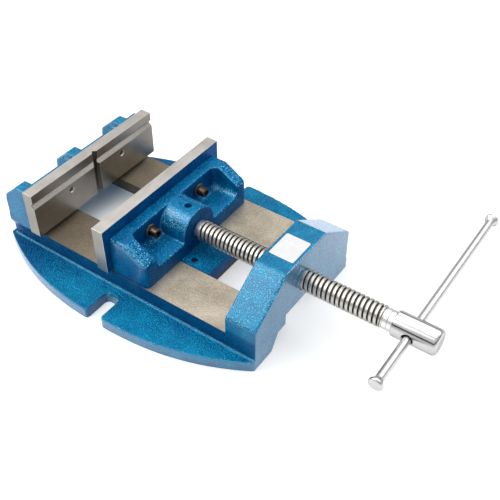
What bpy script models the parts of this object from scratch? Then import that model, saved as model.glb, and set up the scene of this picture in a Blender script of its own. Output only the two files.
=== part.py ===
"""V-jaw drill vise: a one-piece base with two ground rails, a fixed and a sliding jaw,
a trapezoidal lead screw and a sliding T-bar handle.

Frame: +X runs along the screw from the fixed jaw to the handle, +Y across the jaws, +Z up.
The origin is on the centre line of the base's underside, below the ribs of the fixed jaw.
All sizes are in metres.
"""

import bpy
import bmesh
import math
from mathutils import Matrix, Vector

MM = 0.001

# General clearances
touch_gap = 0.3 * MM
overrun = 2 * MM

# Jaw plates
jaw_width = 150 * MM
plate_thickness = 11 * MM
plate_height = 43 * MM
plate_top_z = 72.5 * MM
plate_edge_round = 0.5 * MM
groove_depth = 3.4 * MM
groove_centre_drop = 10.5 * MM
nose_setback = 0.7 * MM
upright_groove_depth = 3.6 * MM
jaw_opening = 65.4 * MM

# Jaw screws and washers
jaw_screw_radius = 3 * MM
jaw_screw_head_radius = 4.3 * MM
jaw_screw_head_height = 7 * MM
jaw_screw_socket_radius = 2.5 * MM
jaw_screw_socket_depth = 3 * MM
jaw_screw_tip_depth = 1 * MM
jaw_screw_half_spacing = 32.3 * MM
fixed_jaw_screw_drop = 19.7 * MM
moving_jaw_screw_drop = 21.9 * MM
washer_radius = 5.8 * MM
washer_thickness = 1.6 * MM

# Base: rails, flange, channel
plate_seat_x = 16.7 * MM
rail_top_z = 25.6 * MM
rail_half_width = 69 * MM
rail_length_behind_seat = 29 * MM
slot_half_width = 27.8 * MM
slot_start_behind_jaw = 12 * MM
channel_start_behind_jaw = 22 * MM
channel_height = 14.5 * MM
channel_roof_half_width = 37.5 * MM
channel_foot_half_width = 46.5 * MM
base_front_x = 245 * MM
base_rear_x = -17 * MM
flange_thickness = 10.2 * MM
flange_end_ledge = 1.5 * MM
flange_middle_half_width = 103.5 * MM
flange_curve_power_share = 2.4
flange_edge_round = 1.5 * MM
hold_down_slot_x = 110.4 * MM
hold_down_slot_width = 14.6 * MM
hold_down_slot_depth = 25 * MM
hold_down_slot_corner = 4 * MM
hold_down_mouth_round = 3 * MM
casting_round = 2 * MM

# Fixed jaw wall and ribs
wall_overhang = 5 * MM
wall_thickness = 9 * MM
wall_top_z = 66 * MM
rib_width = 12 * MM
rib_spacing = 59.2 * MM
rib_row_offset = -8.5 * MM
rib_count = 3
rib_top_depth = 9.5 * MM
rib_slope_depth = 15 * MM
rib_slope_drop = 13.5 * MM
rib_foot_depth = 27.7 * MM
overhang_top_z = 31 * MM
overhang_foot_z = 20 * MM

# Screw bridge at the front
bridge_thickness = 28 * MM
bridge_top_z = 69.7 * MM
bridge_top_half_width = 28 * MM
bridge_shoulder_z = 41.8 * MM
bridge_roof_z = 25 * MM
bridge_side_step = 0.5 * MM

# Sliding jaw casting
jaw_length = 36 * MM
jaw_side_inset = 0.2 * MM
jaw_top_z = 61.7 * MM
jaw_top_length = 15 * MM
jaw_rear_side_z = 49 * MM
jaw_wall = 10 * MM
jaw_side_wall = 13.3 * MM
pocket_floor_z = 39.5 * MM
pocket_round = 3 * MM
boss_radius = 20.3 * MM
tongue_half_width = 26.5 * MM
tongue_start = 5 * MM
tongue_end_behind_jaw = 28.6 * MM
tongue_clearance = 0.3 * MM

# Keeper plate and its screws
keeper_half_width = 36 * MM
keeper_thickness = 8 * MM
keeper_start = 10 * MM
keeper_end_inset = 2 * MM
keeper_screw_behind_jaw = 9.2 * MM
keeper_screw_half_spacing = 19.8 * MM
keeper_screw_radius = 2.5 * MM
keeper_screw_head_radius = 5 * MM
keeper_screw_head_height = 4 * MM
keeper_screw_tip_depth = 1.2 * MM
keeper_edge_round = 0.8 * MM

# Lead screw
screw_axis_z = 41.7 * MM
thread_radius = 9 * MM
thread_pitch = 4 * MM
thread_depth = 2.1 * MM
thread_crest_share = 0.40
thread_flank_share = 0.13
thread_steps_per_turn = 12
thread_end_x = 313.5 * MM
journal_radius = 7 * MM
journal_length = 25 * MM
journal_clearance = 0.3 * MM
keep_groove_width = 5 * MM
keep_groove_depth = 1.6 * MM
keep_screw_behind_boss = 10.7 * MM
keep_screw_radius = 2.75 * MM
keep_screw_length = 7 * MM
keep_screw_tip_radius = 1.6 * MM
collar_radius = 7.6 * MM
collar_length = 9.7 * MM
shank_radius = 5.5 * MM
shank_length = 8 * MM
nut_clearance = 0.3 * MM

# Screw head
head_radius = 10.5 * MM
head_length = 36.5 * MM
head_end_round = 3.2 * MM
head_rim_round = 0.6 * MM
bar_hole_from_rim = 14.2 * MM
bar_clearance = 0.9 * MM
bar_sag = 0.55 * MM

# T-bar and knobs
bar_radius = 3.4 * MM
bar_tilt_degrees = 1.5
bar_short_end = 58.8 * MM
bar_long_end = 148.1 * MM
spigot_radius = 2 * MM
spigot_length = 4.4 * MM
knob_radius = 5.8 * MM
knob_length = 6.8 * MM
knob_disc_thickness = 2.7 * MM
knob_edge_round = 1.7 * MM

# Blank label
label_length = 22 * MM
label_width = 26.5 * MM
label_thickness = 0.4 * MM
label_corner = 1 * MM
label_side_offset = -2.7 * MM

# Number of sides of round pieces
round_sides = 32
small_round_sides = 20

# Derived widths
wall_half_width = rail_half_width + wall_overhang
flange_end_half_width = rail_half_width + flange_end_ledge
jaw_half_width = rail_half_width - jaw_side_inset

# Derived places
jaw_face_x = plate_seat_x + touch_gap + plate_thickness
moving_face_x = jaw_face_x + jaw_opening
moving_plate_back_x = moving_face_x + plate_thickness
jaw_front_x = moving_plate_back_x + touch_gap
jaw_rear_x = jaw_front_x + jaw_length
plate_bottom_z = plate_top_z - plate_height
fixed_jaw_screw_z = plate_top_z - fixed_jaw_screw_drop
moving_jaw_screw_z = plate_top_z - moving_jaw_screw_drop
bridge_rear_x = base_front_x - bridge_thickness
slot_start_x = jaw_face_x - slot_start_behind_jaw
channel_start_x = jaw_face_x - channel_start_behind_jaw
tongue_end_x = jaw_rear_x + tongue_end_behind_jaw
tongue_bottom_z = channel_height - tongue_clearance
keep_screw_x = jaw_rear_x - keep_screw_behind_boss
keeper_screw_x = jaw_rear_x + keeper_screw_behind_jaw
head_start_x = thread_end_x + collar_length + touch_gap
bar_x = head_start_x + bar_hole_from_rim


# Mesh helpers

def remove_everything():
    """Empty the scene of objects."""
    for item in list(bpy.data.objects):
        bpy.data.objects.remove(item)


def material(name, colour, roughness, metallic):
    """A Principled material with one colour."""
    made = bpy.data.materials.new(name)
    made.use_nodes = True
    shader = made.node_tree.nodes["Principled BSDF"]
    shader.inputs["Base Color"].default_value = (*colour, 1)
    shader.inputs["Roughness"].default_value = roughness
    shader.inputs["Metallic"].default_value = metallic
    return made


def new_object(name, mesh_data, look=None):
    """Link a bmesh as a named object and free it."""
    bmesh.ops.recalc_face_normals(mesh_data, faces=mesh_data.faces)
    mesh = bpy.data.meshes.new(name)
    mesh_data.to_mesh(mesh)
    mesh_data.free()
    made = bpy.data.objects.new(name, mesh)
    bpy.context.collection.objects.link(made)
    if look:
        mesh.materials.append(look)
    return made


def prism(name, outline, along, low, high, look=None):
    """Extrude a closed outline along one axis, from low to high.

    The outline's pairs are (y, z) along X, (x, z) along Y and (x, y) along Z.
    """
    def place(pair, level):
        first, second = pair
        return {"X": (level, first, second),
                "Y": (first, level, second),
                "Z": (first, second, level)}[along]

    mesh_data = bmesh.new()
    corners = [mesh_data.verts.new(place(pair, low)) for pair in outline]
    floor = mesh_data.faces.new(corners)
    grown = bmesh.ops.extrude_face_region(mesh_data, geom=[floor])
    moved = [part for part in grown["geom"] if isinstance(part, bmesh.types.BMVert)]
    shift = Vector(place((0, 0), high - low))
    bmesh.ops.translate(mesh_data, verts=moved, vec=shift)
    return new_object(name, mesh_data, look)


def box(name, x_range, y_range, z_range, look=None):
    """A block between three pairs of limits."""
    outline = [(x_range[0], y_range[0]), (x_range[1], y_range[0]),
               (x_range[1], y_range[1]), (x_range[0], y_range[1])]
    return prism(name, outline, "Z", z_range[0], z_range[1], look)


def turned(name, profile, sides=round_sides, look=None):
    """Spin a profile of (distance along, radius) pairs about the local X axis."""
    mesh_data = bmesh.new()
    points = [mesh_data.verts.new((along, 0, radius)) for along, radius in profile]
    edges = [mesh_data.edges.new(pair) for pair in zip(points, points[1:])]
    bmesh.ops.spin(mesh_data, geom=points + edges, cent=(0, 0, 0), axis=(1, 0, 0),
                   angle=math.tau, steps=sides, use_duplicate=False)
    bmesh.ops.remove_doubles(mesh_data, verts=mesh_data.verts, dist=touch_gap / sides)
    poles = [point for point in mesh_data.verts
             if math.hypot(point.co.y, point.co.z) < touch_gap / sides]
    bmesh.ops.dissolve_verts(mesh_data, verts=poles)
    made = new_object(name, mesh_data, look)
    smooth(made)
    return made


def aimed(place, direction):
    """The matrix that moves a piece to a place and turns its X axis along a direction."""
    turn = Vector(direction).to_track_quat("X", "Z").to_matrix().to_4x4()
    return Matrix.Translation(Vector(place)) @ turn


def rod(name, start, end, radius, sides=small_round_sides, look=None):
    """A plain round bar from start to end."""
    run = Vector(end) - Vector(start)
    made = turned(name, [(0, 0), (0, radius), (run.length, radius), (run.length, 0)], sides, look)
    made.matrix_world = aimed(start, run)
    return made


def smooth(item, angle=math.radians(35)):
    """Shade smooth, with sharp edges kept."""
    item.data.shade_smooth()
    item.data.set_sharp_from_angle(angle=angle)


def bevel(item, width, segments=2, angle=math.radians(40)):
    """Round the sharp edges of an object."""
    step = item.modifiers.new("round edges", "BEVEL")
    step.width = width
    step.segments = segments
    step.limit_method = "ANGLE"
    step.angle_limit = angle


def boolean(target, tool, operation):
    """Cut or join a tool, which is then hidden from the render."""
    step = target.modifiers.new(tool.name, "BOOLEAN")
    step.operation = operation
    step.solver = "EXACT"
    step.object = tool
    tool.hide_render = True
    tool.display_type = "WIRE"


def cut(target, *tools):
    """Take each tool out of the target."""
    for tool in tools:
        boolean(target, tool, "DIFFERENCE")


def join(target, *tools):
    """Add each tool to the target."""
    for tool in tools:
        boolean(target, tool, "UNION")


def arc(centre, radius, start_degrees, end_degrees, steps):
    """Points of an arc, both ends included."""
    points = []
    for step in range(steps + 1):
        angle = math.radians(start_degrees + (end_degrees - start_degrees) * step / steps)
        points.append((centre[0] + radius * math.cos(angle), centre[1] + radius * math.sin(angle)))
    return points


def empty_at(name, place):
    """An empty on a joint's axis."""
    made = bpy.data.objects.new(name, None)
    made.location = place
    bpy.context.collection.objects.link(made)
    return made


def carry(parent, *children):
    """Parent pieces and keep them where they are."""
    bpy.context.view_layer.update()
    for child in children:
        world = child.matrix_world.copy()
        child.parent = parent
        child.matrix_parent_inverse = parent.matrix_world.inverted()
        child.matrix_world = world


# Base casting

def flange_outline():
    """The lens-shaped footprint of the base."""
    steps = 28
    front_x = base_front_x - touch_gap
    middle = (front_x + base_rear_x) / 2
    half_length = (front_x - base_rear_x) / 2
    swell = flange_middle_half_width - flange_end_half_width
    edge = []
    for step in range(steps + 1):
        share = -math.cos(math.pi * step / steps)
        width = flange_end_half_width + swell * (1 - abs(share) ** flange_curve_power_share)
        edge.append((middle + half_length * share, width))
    return [(x, -y) for x, y in edge] + [(x, y) for x, y in reversed(edge)]


def hold_down_cutter(side):
    """The open slot in one flange, with a rounded end and rounded mouth."""
    half = hold_down_slot_width / 2
    left, right = hold_down_slot_x - half, hold_down_slot_x + half
    outer = flange_middle_half_width
    inner = outer - hold_down_slot_depth
    corner, mouth = hold_down_slot_corner, hold_down_mouth_round
    outline = arc((left + corner, inner + corner), corner, 180, 270, 4)
    outline += arc((right - corner, inner + corner), corner, 270, 360, 4)
    outline += arc((right + mouth, outer - mouth), mouth, 180, 120, 3)
    outline += [(right + mouth, outer + overrun), (left - mouth, outer + overrun)]
    outline += arc((left - mouth, outer - mouth), mouth, 60, 0, 3)
    if side < 0:
        outline = [(x, -y) for x, y in reversed(outline)]
    name = "hold_down_cutter_" + ("left" if side < 0 else "right")
    return prism(name, outline, "Z", -overrun, flange_thickness + overrun)


def fixed_jaw_wall():
    """The upright wall behind the fixed plate, with its ribs."""
    wall = box("fixed_wall", (plate_seat_x - wall_thickness, plate_seat_x),
               (-wall_half_width, wall_half_width), (flange_thickness / 2, wall_top_z))
    bevel(wall, casting_round / 2)
    front_x = plate_seat_x - touch_gap
    outline = [(front_x, flange_thickness / 2), (front_x, plate_top_z),
               (plate_seat_x - rib_top_depth, plate_top_z),
               (plate_seat_x - rib_top_depth - rib_slope_depth, plate_top_z - rib_slope_drop),
               (plate_seat_x - rib_foot_depth, flange_thickness / 2)]
    for index in range(rib_count):
        centre = rib_row_offset + (index - (rib_count - 1) / 2) * rib_spacing
        rib = prism(f"rib_{index}", outline, "Y", centre - rib_width / 2, centre + rib_width / 2)
        bevel(rib, casting_round / 2)
        join(wall, rib)
    for side in (-1, 1):
        outer = side * (wall_half_width + overrun)
        foot = side * (rail_half_width - touch_gap)
        outline = [(outer, overhang_top_z), (side * wall_half_width, overhang_top_z),
                   (foot, overhang_foot_z), (foot, 0), (outer, 0)]
        cut(wall, prism(f"overhang_cutter_{side}", outline, "X",
                        plate_seat_x - rib_foot_depth - overrun, plate_seat_x + overrun))
    return wall


def screw_bridge():
    """The gabled block at the front that the lead screw runs through."""
    half, foot_z = rail_half_width + bridge_side_step, flange_thickness / 3
    slope = math.atan2(bridge_top_z - bridge_shoulder_z, half - bridge_top_half_width)
    steep = math.pi / 2 - slope
    shoulder = (half - casting_round, bridge_shoulder_z - casting_round * math.tan(steep / 2))
    crown = (bridge_top_half_width - casting_round * math.tan(slope / 2), bridge_top_z - casting_round)
    right = [(half, foot_z)] + arc(shoulder, casting_round, 0, math.degrees(steep), 3)
    right += arc(crown, casting_round, math.degrees(steep), 90, 3)
    outline = right + [(-y, z) for y, z in reversed(right)]
    return prism("bridge", outline, "X", bridge_rear_x, base_front_x)


def base_casting(look):
    """Rails, flanges, fixed jaw wall and screw bridge in one casting."""
    bed_rear_x = plate_seat_x - rail_length_behind_seat
    bed = box("base_casting", (bed_rear_x, base_front_x - overrun),
              (-rail_half_width, rail_half_width), (flange_thickness / 4, rail_top_z), look)
    flange = prism("flange", flange_outline(), "Z", 0, flange_thickness)
    bevel(flange, flange_edge_round, 2, math.radians(60))
    cut(flange, hold_down_cutter(-1), hold_down_cutter(1))
    join(bed, flange, fixed_jaw_wall(), screw_bridge())

    channel = [(-channel_foot_half_width, -overrun), (-channel_foot_half_width, 0),
               (-channel_roof_half_width, channel_height), (-slot_half_width, channel_height),
               (-slot_half_width, bridge_roof_z), (slot_half_width, bridge_roof_z),
               (slot_half_width, channel_height), (channel_roof_half_width, channel_height),
               (channel_foot_half_width, 0), (channel_foot_half_width, -overrun)]
    channel_cutter = prism("channel_cutter", channel, "X", channel_start_x, base_front_x + overrun)
    slot_cutter = box("slot_cutter", (slot_start_x, bridge_rear_x), (-slot_half_width, slot_half_width),
                      (channel_height, rail_top_z + overrun))
    bore = rod("nut_bore", (bridge_rear_x - overrun, 0, screw_axis_z),
               (base_front_x + overrun, 0, screw_axis_z), thread_radius + nut_clearance, round_sides)
    cut(bed, channel_cutter, slot_cutter, bore)
    for side in (-1, 1):
        y = side * jaw_screw_half_spacing
        cut(bed, rod(f"fixed_screw_hole_{side}",
                     (plate_seat_x - wall_thickness - overrun, y, fixed_jaw_screw_z),
                     (plate_seat_x + overrun, y, fixed_jaw_screw_z), jaw_screw_radius + touch_gap))
    return bed


# Jaw plates

def plate_screw_holes(plate, front_x, back_x, level):
    """Tapped holes through a jaw plate, at one level."""
    for side in (-1, 1):
        y = side * jaw_screw_half_spacing
        cut(plate, rod(f"{plate.name}_hole_{side}", (front_x, y, level), (back_x, y, level),
                       jaw_screw_radius))


def fixed_jaw_plate(look):
    """The fixed plate with one level and one upright V groove."""
    back_x = jaw_face_x - plate_thickness
    groove_z = plate_top_z - groove_centre_drop
    nose_x = jaw_face_x - nose_setback
    outline = [(back_x, plate_bottom_z), (jaw_face_x, plate_bottom_z),
               (jaw_face_x, groove_z - groove_depth), (jaw_face_x - groove_depth, groove_z),
               (nose_x, groove_z + groove_depth - nose_setback), (nose_x, plate_top_z),
               (back_x, plate_top_z)]
    plate = prism("fixed_jaw_plate", outline, "Y", -jaw_width / 2, jaw_width / 2, look)
    half = upright_groove_depth + overrun
    groove = [(jaw_face_x - upright_groove_depth, 0), (jaw_face_x + overrun, -half),
              (jaw_face_x + overrun, half)]
    cut(plate, prism("upright_groove_cutter", groove, "Z", plate_bottom_z - overrun,
                     plate_top_z + overrun))
    plate_screw_holes(plate, back_x - overrun, jaw_face_x + overrun, fixed_jaw_screw_z)
    return plate


def moving_jaw_plate(look):
    """The plain plate of the sliding jaw."""
    plate = box("moving_jaw_plate", (moving_face_x, moving_plate_back_x), (-jaw_width / 2, jaw_width / 2),
                (plate_bottom_z, plate_top_z), look)
    bevel(plate, plate_edge_round, 1)
    plate_screw_holes(plate, moving_face_x - overrun, moving_plate_back_x + overrun,
                      moving_jaw_screw_z)
    return plate


# Sliding jaw

def moving_jaw_casting(look):
    """The sliding jaw: two open pockets, a round screw boss and a tongue in the slot."""
    bottom_z = rail_top_z + touch_gap
    outline = [(jaw_front_x, bottom_z), (jaw_rear_x, bottom_z), (jaw_rear_x, jaw_rear_side_z),
               (jaw_front_x + jaw_top_length, jaw_top_z), (jaw_front_x, jaw_top_z)]
    jaw = prism("moving_jaw_casting", outline, "Y", -jaw_half_width, jaw_half_width, look)
    bevel(jaw, casting_round / 2)
    pocket_half = jaw_half_width - jaw_side_wall
    pocket = box("pocket_cutter", (jaw_front_x + jaw_wall, jaw_rear_x + 2 * overrun),
                 (-pocket_half, pocket_half), (pocket_floor_z, jaw_top_z + 2 * overrun))
    bevel(pocket, pocket_round, 2)
    cut(jaw, pocket)

    arch = [(-boss_radius, bottom_z + overrun)] + [(boss_radius, bottom_z + overrun)]
    arch += arc((0, screw_axis_z), boss_radius, 0, 180, 16)
    boss = prism("boss", arch, "X", jaw_front_x + touch_gap, jaw_rear_x)
    neck = box("neck", (jaw_front_x + tongue_start, jaw_rear_x - overrun),
               (-tongue_half_width, tongue_half_width), (channel_height, bottom_z + overrun))
    tongue = box("tongue", (jaw_front_x + tongue_start, tongue_end_x),
                 (-tongue_half_width, tongue_half_width), (tongue_bottom_z, rail_top_z))
    bevel(tongue, keeper_edge_round, 1)
    join(jaw, boss, neck, tongue)

    bore = rod("journal_bore", (jaw_rear_x - journal_length - touch_gap, 0, screw_axis_z),
               (jaw_rear_x + overrun, 0, screw_axis_z), journal_radius + journal_clearance, round_sides)
    keep_hole = rod("keep_screw_hole", (keep_screw_x, 0, screw_axis_z + overrun),
                    (keep_screw_x, 0, jaw_top_z + 2 * overrun), keep_screw_radius + touch_gap)
    cut(jaw, bore, keep_hole)
    for side in (-1, 1):
        y = side * jaw_screw_half_spacing
        cut(jaw, rod(f"moving_screw_hole_{side}", (jaw_front_x - overrun, y, moving_jaw_screw_z),
                     (jaw_front_x + jaw_wall + overrun, y, moving_jaw_screw_z),
                     jaw_screw_radius + touch_gap))
        y = side * keeper_screw_half_spacing
        cut(jaw, rod(f"keeper_screw_tapping_{side}", (keeper_screw_x, y, tongue_bottom_z - overrun),
                     (keeper_screw_x, y, rail_top_z + overrun), keeper_screw_radius + touch_gap))
    return jaw


def keeper_plate(look):
    """The plate under the rails that holds the sliding jaw down."""
    top_z = tongue_bottom_z - touch_gap
    plate = box("keeper_plate", (jaw_front_x + keeper_start, tongue_end_x - keeper_end_inset),
                (-keeper_half_width, keeper_half_width), (top_z - keeper_thickness, top_z), look)
    bevel(plate, keeper_edge_round, 1)
    for side in (-1, 1):
        y = side * keeper_screw_half_spacing
        hole, sink = keeper_screw_radius + touch_gap, keeper_screw_head_radius + touch_gap
        step = overrun + keeper_screw_head_height + touch_gap
        cutter = turned(f"keeper_hole_{side}", [
            (0, 0), (0, sink), (step, sink), (step, hole), (keeper_thickness + 2 * overrun, hole),
            (keeper_thickness + 2 * overrun, 0)], small_round_sides)
        foot = (keeper_screw_x, y, top_z - keeper_thickness - overrun)
        cutter.matrix_world = aimed(foot, (0, 0, 1))
        cut(plate, cutter)
    return plate


# Fasteners

def socket_screw(name, head_seat, direction, length, radius, head_radius, head_height,
                 socket_radius, socket_depth, look):
    """A socket cap screw: the head's seat, the way the shank points, and its sizes."""
    profile = [(-head_height, 0), (-head_height, head_radius), (0, head_radius), (0, radius),
               (length, radius), (length, 0)]
    screw = turned(name, profile, small_round_sides, look)
    socket = turned(name + "_socket",
                    [(-head_height - overrun, 0), (-head_height - overrun, socket_radius),
                     (-head_height + socket_depth, socket_radius), (-head_height + socket_depth, 0)], 6)
    screw.matrix_world = aimed(head_seat, direction)
    socket.matrix_world = aimed(head_seat, direction)
    cut(screw, socket)
    return screw


def jaw_fasteners(label, wall_x, level, direction, grip, look):
    """A screw and a washer on each side of one jaw; returns the pieces."""
    pieces = []
    for side, word in ((-1, "left"), (1, "right")):
        y = side * jaw_screw_half_spacing
        seat = wall_x - direction * (washer_thickness + 2 * touch_gap)
        length = grip + washer_thickness + 2 * touch_gap
        pieces.append(socket_screw(f"{label}_screw_{word}", (seat, y, level), (direction, 0, 0), length,
                                   jaw_screw_radius - touch_gap, jaw_screw_head_radius,
                                   jaw_screw_head_height, jaw_screw_socket_radius,
                                   jaw_screw_socket_depth, look))
        near = wall_x - direction * touch_gap
        far = near - direction * washer_thickness
        washer = rod(f"{label}_washer_{word}", (near, y, level), (far, y, level),
                     washer_radius, look=look)
        cut(washer, rod(f"{label}_washer_bore_{word}", (near + direction * overrun, y, level),
                        (far - direction * overrun, y, level), jaw_screw_radius))
        pieces.append(washer)
    return pieces


def keeper_screws(look):
    """The two screws that hold the keeper plate to the tongue."""
    pieces = []
    seat_z = tongue_bottom_z - touch_gap - keeper_thickness + keeper_screw_head_height
    length = rail_top_z - keeper_screw_tip_depth - seat_z
    for side, word in ((-1, "left"), (1, "right")):
        y = side * keeper_screw_half_spacing
        pieces.append(socket_screw(f"keeper_screw_{word}", (keeper_screw_x, y, seat_z), (0, 0, 1), length,
                                   keeper_screw_radius, keeper_screw_head_radius,
                                   keeper_screw_head_height - touch_gap, keeper_screw_radius,
                                   keeper_screw_head_height / 2, look))
    return pieces


def spindle_keep_screw(look):
    """The grub screw whose tip runs in the journal's groove."""
    tip_z = screw_axis_z + journal_radius - keep_groove_depth + touch_gap
    shoulder_z = screw_axis_z + journal_radius + journal_clearance + touch_gap
    profile = [(0, 0), (0, keep_screw_tip_radius), (shoulder_z - tip_z, keep_screw_tip_radius),
               (shoulder_z - tip_z, keep_screw_radius), (keep_screw_length, keep_screw_radius),
               (keep_screw_length, 0)]
    screw = turned("spindle_keep_screw", profile, small_round_sides, look)
    socket = turned("keep_screw_socket",
                    [(keep_screw_length - keep_screw_tip_radius, 0),
                     (keep_screw_length - keep_screw_tip_radius, keep_screw_tip_radius),
                     (keep_screw_length + overrun, keep_screw_tip_radius),
                     (keep_screw_length + overrun, 0)], 6)
    screw.matrix_world = aimed((keep_screw_x, 0, tip_z), (0, 0, 1))
    socket.matrix_world = aimed((keep_screw_x, 0, tip_z), (0, 0, 1))
    cut(screw, socket)
    return screw


# Lead screw, head and handle

def threaded_rod(name, start_x, end_x, look=None):
    """A right-hand trapezoidal thread about the X axis, cut square at both ends."""
    root_radius = thread_radius - thread_depth
    half_crest = thread_pitch * thread_crest_share / 2
    flank = thread_pitch * thread_flank_share
    profile = [(-half_crest - flank, root_radius), (-half_crest, thread_radius),
               (half_crest, thread_radius), (half_crest + flank, root_radius)]
    turns = math.ceil((end_x - start_x) / thread_pitch) + 4
    mesh_data = bmesh.new()
    rows = []
    for step in range(turns * thread_steps_per_turn + 1):
        turn = step / thread_steps_per_turn
        angle = math.tau * turn
        advance = start_x + thread_pitch * (turn - 2)
        rows.append([mesh_data.verts.new((advance + x, radius * math.cos(angle), radius * math.sin(angle)))
                     for x, radius in profile])
    for step in range(len(rows) - 1):
        for first in range(len(profile) - 1):
            mesh_data.faces.new((rows[step][first], rows[step][first + 1],
                                 rows[step + 1][first + 1], rows[step + 1][first]))
        if step + 1 + thread_steps_per_turn < len(rows):
            later = step + thread_steps_per_turn
            mesh_data.faces.new((rows[step][-1], rows[later][0], rows[later + 1][0], rows[step + 1][-1]))
    for level, facing in ((start_x, -1), (end_x, 1)):
        everything = mesh_data.verts[:] + mesh_data.edges[:] + mesh_data.faces[:]
        bmesh.ops.bisect_plane(mesh_data, geom=everything, dist=touch_gap / 1000,
                               plane_co=(level, 0, 0), plane_no=(facing, 0, 0), clear_outer=True)
    rim = [edge for edge in mesh_data.edges if edge.is_boundary]
    bmesh.ops.holes_fill(mesh_data, edges=rim, sides=0)
    made = new_object(name, mesh_data, look)
    made.location = (0, 0, screw_axis_z)
    return made


def lead_screw(look):
    """The lead screw: journal with its groove, thread, plain collar and shank."""
    thread_start_x = jaw_rear_x + touch_gap
    screw = threaded_rod("lead_screw", thread_start_x, thread_end_x, look)
    groove_front = keep_screw_x - keep_groove_width / 2
    groove_rear = keep_screw_x + keep_groove_width / 2
    groove_radius = journal_radius - keep_groove_depth
    journal = turned("journal", [
        (jaw_rear_x - journal_length, 0), (jaw_rear_x - journal_length, journal_radius),
        (groove_front, journal_radius), (groove_front, groove_radius),
        (groove_rear, groove_radius), (groove_rear, journal_radius),
        (jaw_rear_x - touch_gap, journal_radius), (jaw_rear_x - touch_gap, shank_radius),
        (thread_start_x + overrun, shank_radius), (thread_start_x + overrun, 0)])
    collar = turned("collar", [
        (thread_end_x - overrun, 0), (thread_end_x - overrun, shank_radius),
        (thread_end_x + touch_gap, shank_radius), (thread_end_x + touch_gap, collar_radius),
        (thread_end_x + collar_length, collar_radius), (thread_end_x + collar_length, shank_radius),
        (head_start_x + shank_length, shank_radius), (head_start_x + shank_length, 0)])
    for piece in (journal, collar):
        piece.location = (0, 0, screw_axis_z)
    join(screw, journal, collar)
    return screw


def bar_direction():
    """The unit vector along the T-bar at rest."""
    tilt = math.radians(bar_tilt_degrees)
    return Vector((0, math.cos(tilt), math.sin(tilt)))


def bar_point(distance, sag=0):
    """A point on the cross hole's axis, or below it by the sag, that far from the screw's axis."""
    return Vector((bar_x, 0, screw_axis_z - sag)) + bar_direction() * distance


def spindle_head(look):
    """The round head with the cross hole for the T-bar."""
    profile = [(0, 0), (0, head_radius - head_rim_round), (head_rim_round, head_radius)]
    profile += [(head_length - head_end_round + x, head_radius - head_end_round + radius)
                for radius, x in arc((0, 0), head_end_round, 0, 75, 4)]
    profile += [(head_length, 0)]
    head = turned("spindle_head", profile, look=look)
    head.location = (head_start_x, 0, screw_axis_z)
    socket = rod("shank_bore", (head_start_x - overrun, 0, screw_axis_z),
                 (head_start_x + shank_length + touch_gap, 0, screw_axis_z), shank_radius + touch_gap)
    hole = rod("bar_hole", bar_point(-head_radius - overrun), bar_point(head_radius + overrun),
               bar_radius + bar_clearance)
    cut(head, socket, hole)
    return head


def handle_pieces(look):
    """The T-bar, lying on the bottom of its hole, and its two knobs; returns the pieces."""
    low = -bar_short_end + knob_length
    high = bar_long_end - knob_length
    length = high - low
    bar = turned("handle_bar", [
        (-spigot_length, 0), (-spigot_length, spigot_radius), (0, spigot_radius), (0, bar_radius),
        (length, bar_radius), (length, spigot_radius), (length + spigot_length, spigot_radius),
        (length + spigot_length, 0)], small_round_sides, look)
    bar.matrix_world = aimed(bar_point(low, bar_sag), bar_direction())
    pieces = [bar]
    profile = [(touch_gap, spigot_radius + touch_gap), (touch_gap, bar_radius),
               (knob_length - knob_disc_thickness, knob_radius)]
    profile += [(knob_length - knob_edge_round + x, knob_radius - knob_edge_round + radius)
                for radius, x in arc((0, 0), knob_edge_round, 0, 75, 4)]
    profile += [(knob_length, 0), (spigot_length + touch_gap, 0),
                (spigot_length + touch_gap, spigot_radius + touch_gap),
                (touch_gap, spigot_radius + touch_gap)]
    for word, start, facing in (("left", low, -1), ("right", high, 1)):
        knob = turned(f"handle_knob_{word}", profile, small_round_sides, look)
        knob.matrix_world = aimed(bar_point(start, bar_sag), bar_direction() * facing)
        pieces.append(knob)
    return pieces


def blank_label(look):
    """The blank label on the flat top of the bridge."""
    centre_x = (bridge_rear_x + base_front_x) / 2
    half_x, half_y, corner = label_length / 2, label_width / 2, label_corner
    outline = []
    for x_side, y_side, start in ((1, 1, 0), (-1, 1, 90), (-1, -1, 180), (1, -1, 270)):
        centre = (centre_x + x_side * (half_x - corner), label_side_offset + y_side * (half_y - corner))
        outline += arc(centre, corner, start, start + 90, 3)
    low = bridge_top_z + touch_gap / 2
    return prism("blank_label", outline, "Z", low, low + label_thickness, look)


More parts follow.
